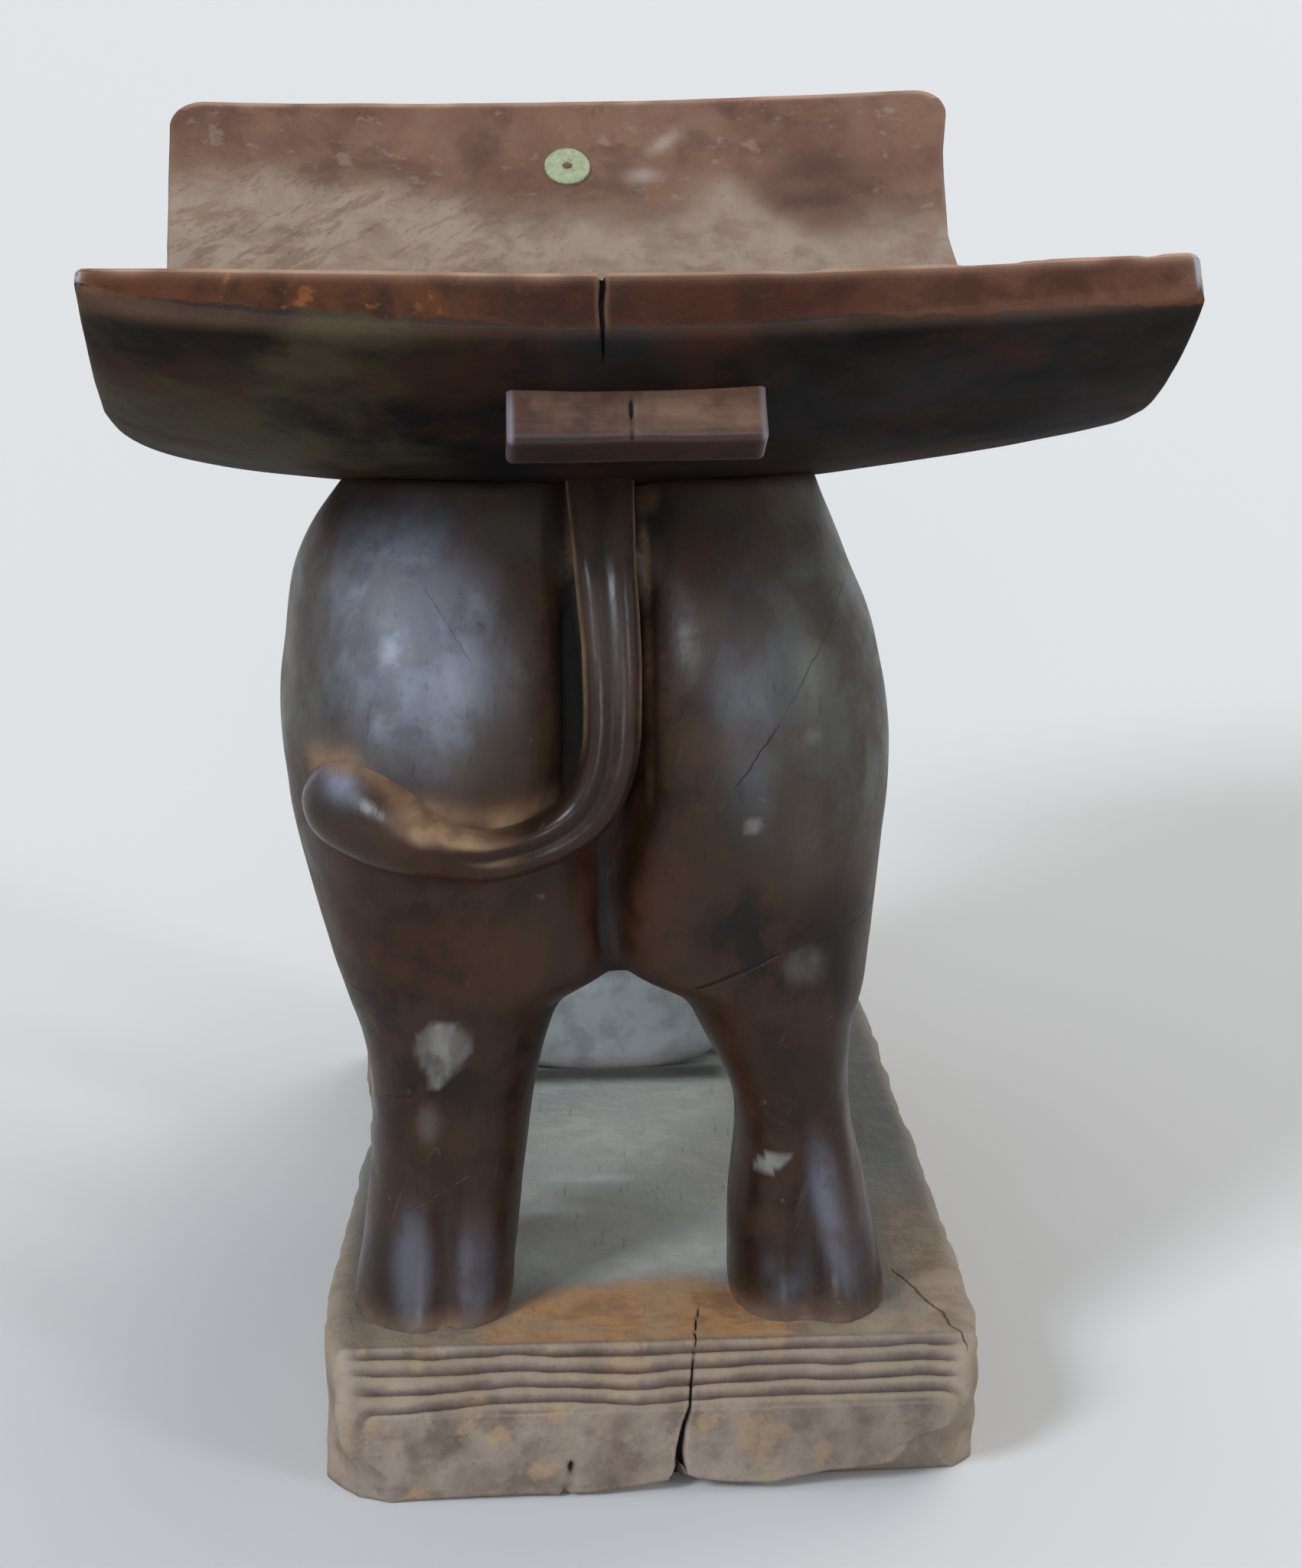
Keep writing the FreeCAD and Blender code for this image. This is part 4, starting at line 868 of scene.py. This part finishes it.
# Red wood shows where hands rub, and pale wood where the skin of the log has flaked off. Bluish
# highlights are painted on the haunches, down the right shin and on the feet, where lamps shine.
red = np.maximum(spot(-40, 203, 22, 9), spot(-52, 160, 30, 14))
red += spots((0.8, 60, 190, 22, 16), (0.8, 30, 110, 9, 40), (0.9, -4, 170, 14, 36))
red += (0.8 * hump(x, -55.5, 5) + 0.7 * hump(x, 51.7, 5)) * ease(-z, -115, -60) * behind
ragged = 0.55 * rough_layers(points, 5, 58, (1, 1, 0.4))
patch = (x + 57.5 - 0.12 * (z - 117)) / np.interp(z, (116, 122, 130, 140), (2.0, 4.5, 8.0, 9.5))
patch = patch ** 2 + ((z - 129.3) / 11) ** 2
pale = 1.25 * ease(1.05 + ragged - patch, -0.1, 0.45)
chip = ((x - 42.5) / 5.5) ** 2 + ((z - 91.4 - 0.3 * (x - 42.5)) / 2.6) ** 2
pale = np.maximum(pale, ease(1 + 2 * ragged - chip, 0, 0.4)) * ease(-y, 120, 135)
for share, *place in ((0.35, 51.3, 154.8, 6, 6), (0.5, 52.2, 225.7, 2.8, 2.8),
                      (0.5, 34.4, 200, 2.4, 2.4), (0.25, -60, 107, 3.5, 6)):
    pale = np.maximum(pale, share * spot(*place))
polish = 0.9 * ease(-z, -120, -80) * ease(-y, 100, 130) + 0.5 * spot(-67, 255, 30, 36)
# Painted bluish highlights where the lamps shine on the haunches, the right shin and the feet.
bloom = spots((1, -64, 252, 24, 32), (0.18, 36, 240, 13, 34), (0.50, 61 + (74 - z) * 0.22, 74, 5.5, 24),
              (0.40, -66, 62, 6, 18), (0.45, -46, 60, 6, 18))
bloom += 0.22 * spot(46, 56, 6, 12) * (0.6 + 0.8 * rough(points, 5, 77))
painted(elephant_wood, hollow=hollow, proud=proud, dust=dust, film=film, pale=pale, ochre=ochre,
        red=red, polish=polish, bloom=bloom, bleached=under_body)

elephant_finish, tree, shader = new_material("elephant_finish")
streaks, pores, grain_height = use(tree, grain_group, Fineness=0.9, Squeeze=(1, 1, 0.2))
large = blotch(tree, 17, 0.50, 0.15, 21.0)
small = blotch(tree, 80, 0.53, 0.11, 24.0)
smudge = blotch(tree, 40, 0.50, 0.07, 31.0)
flecks = blotch(tree, 150, 0.69, 0.03, 27.0)
scored = use(tree, scratch_group, Turn=(0.3, 1.2, 0.2), Scale=170, Level=0.62)[0]
colour = shade(tree, large, (0.022, 0.010, 0.005), (0.005, 0.003, 0.003))
colour = layer(tree, colour, (0.048, 0.020, 0.010), smudge, 0.60)
colour = layer(tree, colour, (0.008, 0.005, 0.004), small, 0.35)
reddened = times(tree, "red", times(tree, small, 0.4, 0.4), clamp=True)
colour = layer(tree, colour, (0.052, 0.016, 0.006), reddened)
uneven = times(tree, large, -0.40, times(tree, smudge, -0.35, 1.10))
film_mask = times(tree, "film", uneven, clamp=True)
colour = layer(tree, colour, (0.100, 0.103, 0.084), film_mask)
# The painted highlights, laid over the wood.
bloomed = times(tree, "bloom", times(tree, smudge, -0.35, 0.80), clamp=True)
colour = layer(tree, colour, (0.250, 0.275, 0.350), bloomed)
colour = layer(tree, colour, (0.012, 0.008, 0.006), streaks, 0.35)
# On the elephant the hollow mask also carries painted shade, which this dirt tint darkens.
colour = worn_colour(tree, colour, pores, (0.085, 0.045, 0.030), 0.25, (0.003, 0.002, 0.002), 0.9,
                     0.25)
colour = layer(tree, colour, (0.13, 0.095, 0.07), flecks, 0.40)
colour = layer(tree, colour, (0.10, 0.09, 0.075), scored, 0.16)
dusty = times(tree, "dust", times(tree, small, -0.30, 1.0), clamp=True)
# Dust, and paler dust as painted light where the trunk lies under the body.
dust_colour = shade(tree, "bleached", (0.170, 0.168, 0.155), (0.40, 0.43, 0.43))
colour = layer(tree, colour, dust_colour, dusty)
earthy = times(tree, "ochre", times(tree, small, -0.45, 0.95), clamp=True)
colour = layer(tree, colour, (0.290, 0.175, 0.100), earthy)
brushed = times(tree, streaks, -0.70, times(tree, small, -0.30, 1.05))
pale = times(tree, "pale", brushed, clamp=True)
colour = layer(tree, colour, (0.215, 0.210, 0.195), pale)

# Each drying crack: a place it goes through, the way its plane faces, its half width and reach in
# metres, and how dark it is.
cracks = [
    ((0.032, -0.165, 0.1545), (-0.42, 0.0, 0.908), 0.0018, 0.018, 1.0),
    ((0.058, -0.150, 0.1635), (-0.30, 0.0, 0.954), 0.0007, 0.026, 0.9),
    ((0.035, -0.170, 0.2195), (0.80, 0.0, -0.60), 0.0005, 0.016, 0.8),
    ((0.046, -0.165, 0.2360), (0.84, 0.0, -0.54), 0.0003, 0.045, 0.3),
    ((-0.0755, -0.155, 0.1452), (0.10, 0.0, 0.995), 0.0004, 0.012, 0.6),
    ((-0.0710, -0.165, 0.1128), (-0.25, 0.0, 0.97), 0.0004, 0.008, 0.6),
    ((-0.0580, -0.175, 0.0845), (-0.55, 0.0, 0.835), 0.0003, 0.015, 0.3),
    ((-0.0530, -0.170, 0.2585), (0.82, 0.0, 0.57), 0.00025, 0.014, 0.35),
]
all_cracks = 0.0
for through, facing, width, reach, depth in cracks:
    crack = use(tree, crack_group, Through=through, Facing=facing, Width=width, Reach=reach,
                Waver=0.0035)[0]
    all_cracks = sums(tree, "MAXIMUM", times(tree, crack, depth), all_cracks)
colour = layer(tree, colour, (0.003, 0.002, 0.002), all_cracks)
gloss = times(tree, smudge, 0.10, times(tree, small, 0.08, 0.32))
gloss = times(tree, "polish", -0.10, times(tree, film_mask, 0.06, gloss))
gloss = times(tree, sums(tree, "MAXIMUM", dusty, earthy), 0.40, gloss)
gloss = times(tree, "hollow", 0.45, gloss, clamp=True)
relief = times(tree, scored, -0.20, times(tree, all_cracks, -2.0, grain_height))
coat(tree, shader, colour, gloss, relief, 0.00016, 0.20)
elephant_wood.data.materials.append(elephant_finish)
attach(elephant_wood, "root")
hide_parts("body", "left_hind_leg", "right_hind_leg", "left_foreleg", "right_foreleg",
            "head", "trunk", "left_ear", "right_ear", "left_tusk", "right_tusk")


# The tail: it leaves the rump under the seat, lies in the crease between the haunches, and curls
# across the left thigh to a rounded tuft. It was cut with a flat gouge, which left a shallow
# groove down its back.
TAIL = [
    (-7.3, -137, 299, 10.5, 8.5, 180), (-6.9, -155.8, 277.1, 9.2, 8.5, 180),
    (-5.9, -165.5, 257.1, 8.8, 8.5, 180), (-5.4, -172.9, 235.1, 8.4, 8.5, 181),
    (-7.3, -176.5, 217.1, 8.4, 8.5, 192), (-14.3, -177.7, 203.4, 8.0, 8.5, 218),
    (-27.0, -178.6, 195.4, 7.5, 8.5, 252), (-43.0, -182.0, 192.8, 7.7, 8.5, 273),
    (-58.2, -181.4, 195.9, 9.4, 9.4, 286), (-66.0, -178.0, 198.9, 12.0, 11.6, 293),
    (-73.5, -173.4, 202.7, 13.9, 13.4, 299), (-80.5, -168.8, 206.3, 14.5, 14.0, 302),
    (-85.5, -165.7, 208.9, 13.2, 12.8, 303), (-89.2, -163.4, 210.8, 10.2, 10.0, 304),
    (-91.6, -161.9, 212.0, 6.2, 6.0, 304), (-92.4, -161.4, 212.4, 1.5, 1.5, 304)]
TAIL_RINGS, TAIL_SIDES = 330, 64
tail_points, tail_faces = limb(TAIL, axis="y", count=TAIL_RINGS, sides=TAIL_SIDES)
tail_wood = piece_from("tail_wood", tail_points, tail_faces)
points, normals = points_of(tail_wood), normals_of(tail_wood)
round_tail = np.append(np.tile(np.arange(TAIL_SIDES) / TAIL_SIDES, TAIL_RINGS), (0, 0))
down_tail = np.append(np.repeat(np.linspace(0, 1, TAIL_RINGS), TAIL_SIDES), (0, 1))
groove = hump(round_tail, 0.760, 0.068) * ease(-down_tail, -0.56, -0.42)
shift = 0.3 * rough_layers(points, 14, 71) - 2.2 * groove
points = points + normals * shift[:, None]
reshape(tail_wood, points)
hollow, proud = hollow_and_proud(tail_wood, 20, 0.8)
normals = normals_of(tail_wood)
x, y, z = points.T

# Ochre dust lies on the curl, on its knob and down both sides of the straight part. The knob
# shines, and a highlight is painted on it.
curved = ease(down_tail, 0.40, 0.52)
ochre = ease(normals[:, 2], 0.05, 0.45) * curved * ease(x, -74, -60)
ochre *= 1.15 + 0.35 * rough(points, 8, 73)
ochre += ease(normals[:, 2], 0.55, 0.9) * ease(-x, 66, 74) * 0.9
sideways = ease(np.abs(normals[:, 0]), 0.80, 0.97)
ochre += 0.7 * sideways * ease(-down_tail, -0.34, -0.26) * ease(z, 215, 240)
red = curved * ease(x, -86, -66)
film = 0.18 * ease(z, 215, 260) + 0.10 * ease(-x, 62, 72)
# A painted highlight on the knob.
knob_shine = 1.1 * np.exp(-((x + 84) / 5) ** 2 - ((z - 214) / 4.5) ** 2) * ease(-y, 150, 165)
none = np.zeros(len(points))
painted(tail_wood, hollow=hollow, proud=proud, dust=none, film=film, pale=none, ochre=ochre, red=red,
        polish=none + 1, bloom=knob_shine, bleached=none)
tail_wood.data.materials.append(elephant_finish)
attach(tail_wood, "root")
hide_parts("tail")


# The slab: the outside of the log, left flat under the feet. Four grooves run across its sloped
# shoulder at each end. It has stood on earth floors, so it is dry and grey with ochre dust, and
# its edges are chipped and cracked from below.
SLAB_END, SLAB_TOP, SHOULDER_RUN, SHOULDER_RISE = 202.0, 44.0, 13.0, 16.5
CARVED_FROM = 186


def slab_shape(lattice):
    """The slab from a flat block: x is -1 to 1 across, y is along in millimetres and z is 0 below
    to 1 above. Its sides waver, its shoulders slope, its corners are worn away, and the lower edge
    of its tail end has crumbled, most at the right."""
    across, y, up = lattice.T
    left = np.interp(y, (-202, -197, -180, -150, -90, 0, 120, 190, 202),
                     (-82, -90, -93.5, -93, -88, -80, -79, -82, -78))
    right = np.interp(y, (-202, -198, -188, -165, -120, 150, 190, 202),
                      (93, 99, 103.5, 106.5, 107, 106.5, 103, 95))
    x = (left + right) / 2 + across * (right - left) / 2
    slope = np.clip((np.abs(y) - (SLAB_END - SHOULDER_RUN)) / SHOULDER_RUN, 0, 1)
    top = SLAB_TOP - SHOULDER_RISE * slope
    edge = np.clip((1 - np.abs(across)) * 95 / 6, 0, 1)
    top = top - 4.5 * (1 - np.sqrt(1 - (1 - edge) ** 2 * 0.999))
    crumbled = np.interp(x, (-80, -45, -12, 8, 14, 18, 28, 39, 57, 85, 94, 103),
                         (0.3, 1.6, 1.4, 4.5, 6.5, 5, 3.5, 3, 6.5, 9, 13, 21))
    low = crumbled * ease(-y, 187, 202) * (y < 0)

    # Both lower corners of that end are worn in, the right one further and higher.
    x = x + 6 * ease(-across, 0.80, 1.0) * ease(-y, 180, 200) * ease(0.62 - up, 0, 0.35)
    x = x - 12 * ease(across, 0.72, 1.0) * ease(-y, 178, 200) * ease(0.72 - up, 0, 0.6)
    return np.stack([x, y, low + up * (top - low)], 1)


slab_ys = np.concatenate([np.linspace(-SLAB_END, -CARVED_FROM, 41),
                          np.linspace(-CARVED_FROM, CARVED_FROM, 150)[1:-1],
                          np.linspace(CARVED_FROM, SLAB_END, 33)])
slab_xs = np.concatenate([ruled(-96, 96, 2.0), np.linspace(4, 20, 27), np.linspace(-25, -19, 9)])
slab_xs = np.unique(slab_xs)
lattice, faces = block_skin(slab_xs / 96, slab_ys, np.linspace(0, 1, 22))
slab_wood = piece_from("slab_wood", slab_shape(lattice), faces.tolist())
points = points_of(slab_wood)
x, y, z = points.T
across, along, up = lattice.T
on_top = (up > 0.999).astype(float)

# Grooves: 4.3 waves to each shoulder's run. They wander, and are rubbed away in places.
run = (SLAB_END - np.abs(y)) / SHOULDER_RUN
wander = 0.06 * rough(points, 34, 90) + 0.03 * rough(points, 12, 91)
wander = wander + 0.12 * ease(-x, 35, 85) * ease(-run, -0.7, 0.0)
beat = np.cos(2 * np.pi * (4.3 * (run + wander) - 0.35))
carved = on_top * ease(run, -0.02, 0.10) * ease(-run, -1.02, -0.92)
carved = carved * ease(x, -88, -78) * ease(-x, -99, -90)
rubbed_away = ease(rough_layers(points, 15, 95), 0.15, 0.75)
ridge = carved * ease(beat, 0.10, 0.8)
cut = carved * ease(-beat, 0.15, 0.85) * (1 - 0.75 * rubbed_away)
shift = 0.6 * rough_layers(points, 26, 81) * (1 - 0.5 * on_top)
shift -= 1.4 * cut - 0.2 * ridge
points[:, 2] += shift * on_top
near_side = ease(np.abs(across), 0.93, 1.0)
ragged = 1.9 * rough_layers(points, 24, 84) + 0.9 * rough(points, 9, 87) - 1.6
points[:, 0] += np.sign(across) * near_side * ragged
near_end = ease(np.abs(along), 196, 202)
points[:, 1] += np.sign(along) * near_end * (0.9 * rough_layers(points, 16, 86) - 0.8)
normals = normals_of(slab_wood)

# The split in the tail end: wide and deep below, a fine line on top that runs on to the foot. A
# short second one starts from the lower edge.
split_x = np.interp(z, (0, 8, 20, 30, 44), (10.6, 12.0, 13.6, 15.5, 17.6)) + 0.6 * rough(points, 7, 88)
split_x = split_x + np.interp(y, (-190, -180, -160, -140), (0, 1.0, 3.6, 6.0))
gape = np.interp(z, (0, 10, 20, 28, 44), (2.5, 1.4, 0.8, 0.5, 0.4))
reached = ease(-y, np.where(z > 40, 152, 176), np.where(z > 40, 172, 186))
split = np.clip(1.25 - np.abs(x - split_x) / gape, 0, 1) * reached
points = points - normals * (split * np.interp(z, (0, 26, 44), (8, 3.5, 1.0)))[:, None]
second_x = -21.5 + 0.13 * z + 0.5 * rough(points, 6, 92)
second = np.clip(1.2 - np.abs(x - second_x) / np.interp(z, (0, 16), (1.3, 0.1)), 0, 1)
second = second * (y < -195) * (z < 16)
points = points - normals * (second * 2.5)[:, None]

# The foot is flat but for the crumbled edge, and nothing leaves the log's outline.
foot = np.where(along < -CARVED_FROM, np.maximum(points[:, 2], 0), 0)
points[:, 2] = np.where(up < 0.001, foot, np.clip(points[:, 2], 0, SLAB_TOP))
points[:, 0] = np.clip(points[:, 0], -97, 108)
points[:, 1] = np.clip(points[:, 1], -SLAB_END, SLAB_END)
reshape(slab_wood, points)
x, y, z = points.T
hollow, proud = hollow_and_proud(slab_wood, 10, 0.7)

# Ochre earth behind the feet, pale scuffs and grey wood between them, the grey painted paler as
# light under the body, and a painted shadow on the slab where the trunk's tip overhangs it.
behind_feet = np.interp(x, (-40, -28, -10, 20, 34), (-172, -152, -146, -143, -150))
earth = ease(behind_feet + 3 * rough_layers(points, 12, 93) - y, -7, 4) * on_top
earth = earth * ease(-np.abs(x - 2), -52, -40)
scuffs = np.maximum(hump(np.hypot((x + 18) / 12, (y + 82) / 4.5), 0, 1),
                    hump(np.hypot((x + 4) / 14, (y + 55) / 3), 0, 1))
scuffs = scuffs * ease(rough_layers(points, 7, 94), -0.35, 0.2) * on_top
# Between the feet: where the grey dust is painted paler, as light that falls under the body.
middle = ease(-np.abs(x - 2), -58, -40) * on_top * ease(y, -175, -120)
# Painted shadow: a dark band on the slab just behind the trunk's tip.
gloom = ease(y, 33, 45) * ease(-y, -62, -50) * ease(-np.abs(x - 6), -48, -36) * on_top
shoulder = on_top * ease(-run, -1.25, -0.95)
painted(slab_wood, hollow=hollow, proud=proud, on_top=on_top, cut=cut, ridge=ridge, earth=earth,
        scuffs=scuffs, middle=middle, gloom=gloom, split=np.maximum(split, second), shoulder=shoulder)

material, tree, shader = new_material("slab_finish")
streaks, pores, grain_height = use(tree, grain_group, Fineness=0.9)
large = blotch(tree, 24, 0.50, 0.13, 41.0)
small = blotch(tree, 90, 0.52, 0.12, 44.0)
flecks = blotch(tree, 70, 0.58, 0.05, 47.0)
across, along = object_axis(tree, 0), object_axis(tree, 1)
bare = shade(tree, large, (0.165, 0.118, 0.090), (0.265, 0.212, 0.168))
darkened = blotch(tree, 44, 0.51, 0.06, 51.0)
bare = layer(tree, bare, (0.100, 0.066, 0.050), darkened, 0.75)
bare = layer(tree, bare, (0.120, 0.082, 0.064), small, 0.35)
bare = layer(tree, bare, (0.330, 0.262, 0.200), streaks, 0.55)
bare = layer(tree, bare, (0.37, 0.240, 0.125), flecks, 0.55)
bare = layer(tree, bare, (0.110, 0.088, 0.080), between(tree, across, 0.0, 0.07), 0.35)
lengthwise = times(tree, streaks, 0.65, times(tree, small, 0.3), clamp=True)
tan_side = shade(tree, lengthwise, (0.335, 0.255, 0.190), (0.190, 0.135, 0.098))
outer = sums(tree, "MAXIMUM", between(tree, across, -0.082, -0.088),
             between(tree, across, 0.086, 0.100))
bare = layer(tree, bare, tan_side, outer)
grey = shade(tree, small, (0.105, 0.110, 0.100), (0.145, 0.145, 0.130))
# Grey dust between the feet, painted paler as light under the body.
pale_grey = shade(tree, small, (0.370, 0.370, 0.322), (0.440, 0.435, 0.375))
pale_grey = layer(tree, pale_grey, (0.315, 0.335, 0.315), large, 0.5)
grey = layer(tree, grey, pale_grey, "middle")
grey = layer(tree, grey, (0.60, 0.63, 0.65), "scuffs", 0.6)
tan_top = shade(tree, small, (0.300, 0.225, 0.155), (0.225, 0.165, 0.115))
dull = times(tree, between(tree, across, 0.074, 0.092), between(tree, along, -0.04, -0.13))
dull = sums(tree, "MAXIMUM", dull, between(tree, across, -0.080, -0.088))
dull = sums(tree, "MAXIMUM", dull, between(tree, along, -0.150, -0.185))
top_colour = shade(tree, dull, grey, tan_top)
earth_colour = shade(tree, small, (0.450, 0.235, 0.100), (0.300, 0.160, 0.078))
earth_colour = layer(tree, earth_colour, (0.400, 0.270, 0.160), darkened, 0.5)
top_colour = layer(tree, top_colour, earth_colour, "earth")
top_colour = layer(tree, top_colour, bare, "shoulder")
# The painted shadow behind the trunk's tip.
top_colour = layer(tree, top_colour, (0.016, 0.016, 0.014), "gloom", 0.88)
colour = shade(tree, "on_top", bare, top_colour)
colour = worn_colour(tree, colour, pores, (0.36, 0.30, 0.24), 0.35, (0.085, 0.050, 0.032), 0.45,
                     0.30)
cut_share = times(tree, "cut", times(tree, large, -0.30, 0.95))
colour = layer(tree, colour, (0.060, 0.034, 0.026), cut_share)
colour = layer(tree, colour, (0.31, 0.225, 0.145), "ridge", 0.60)
flaw = use(tree, crack_group, Through=(0.0905, -0.165, 0.044), Facing=(0.96, 0.28, 0.0),
           Width=0.0009, Reach=0.030, Waver=0.006)[0]
colour = layer(tree, colour, (0.060, 0.034, 0.022), flaw)
colour = layer(tree, colour, (0.010, 0.007, 0.005), between(tree, "split", 0.3, 0.75))
relief = times(tree, flaw, -1.0, times(tree, small, 0.5, grain_height))
coat(tree, shader, colour, times(tree, small, 0.1, 0.76), relief, 0.0005, 0.3)
slab_wood.data.materials.append(material)
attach(slab_wood, "root")
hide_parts("base")


# The disc: a small round of sheet brass, nailed on the seat's far rise through its middle. Age has
# turned it green.
def turned(profile, sides=72):
    """A closed shape turned about the z axis; the profile runs from its lower pole to its upper."""
    radius, height = np.array(profile, float).T
    turn = np.linspace(0, 2 * np.pi, sides, endpoint=False)
    rings = np.stack([radius[1:-1, None] * np.cos(turn), radius[1:-1, None] * np.sin(turn),
                      np.repeat(height[1:-1, None], sides, 1)], -1)
    return closed(rings, [(0, 0, height[0]), (0, 0, height[-1])])


DISC_RUN = MIDDLE_RUN + RISE_RADIUS * (math.radians(30.60) - MIDDLE_SWING)


def on_far_rise(points):
    """Points that stand on a flat sheet, laid along the sweep on the seat's far rise."""
    y, z = on_sweep(DISC_RUN + points[:, 1], -points[:, 2])
    return np.stack([points[:, 0], y, z], 1)


disc_rows = [
    (0, -1.0), (4, -1.0), (8.2, -0.9), (8.5, -0.4), (8.5, 0.3), (8.2, 0.7), (7.4, 0.85), (6.0, 0.95),
    (4.0, 1.0), (2.2, 0.95), (1.6, 0.7), (0, 0.6)]
disc_points, disc_faces = turned(disc_rows)

# It was cut by hand: a little longer than wide, and not quite flat.
disc_points[:, 1] *= 1.25
disc_points[:, 2] += 0.12 * rough(disc_points, 3, 61) + 0.3
disc_metal = piece_from("disc_metal", on_far_rise(disc_points), disc_faces)
material, tree, shader = new_material("green_brass")
mottle = blotch(tree, 260, 0.50, 0.12, 61.0)
specks = blotch(tree, 520, 0.58, 0.06, 64.0)
colour = shade(tree, mottle, (0.245, 0.30, 0.165), (0.345, 0.395, 0.245))
colour = layer(tree, colour, (0.20, 0.16, 0.07), specks, 0.5)
shader.inputs["Metallic"].default_value = 0.25
coat(tree, shader, colour, times(tree, mottle, 0.15, 0.5), mottle, 0.0002)
disc_metal.data.materials.append(material)
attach(disc_metal, "root")
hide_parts("marker_disc")


# The nail: a short iron pin with a low domed head, driven through the disc into the seat. Damp
# has rusted it brown.
nail_rows = [
    (0, -9), (0.6, -8), (0.8, -6), (0.8, 0.9), (1.7, 1.0), (1.8, 1.15), (1.5, 1.5), (0.9, 1.75),
    (0, 1.8)]
nail_points, nail_faces = turned(nail_rows, 32)
nail_iron = piece_from("nail_iron", on_far_rise(nail_points), nail_faces)
material, tree, shader = new_material("rusted_iron")
rust = blotch(tree, 400, 0.5, 0.1, 71.0)
colour = shade(tree, rust, (0.11, 0.05, 0.03), (0.20, 0.11, 0.06))
coat(tree, shader, colour, 0.7, rust, 0.0001)
nail_iron.data.materials.append(material)
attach(nail_iron, "root")
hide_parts("disc_nail")


bpy.context.view_layer.update()
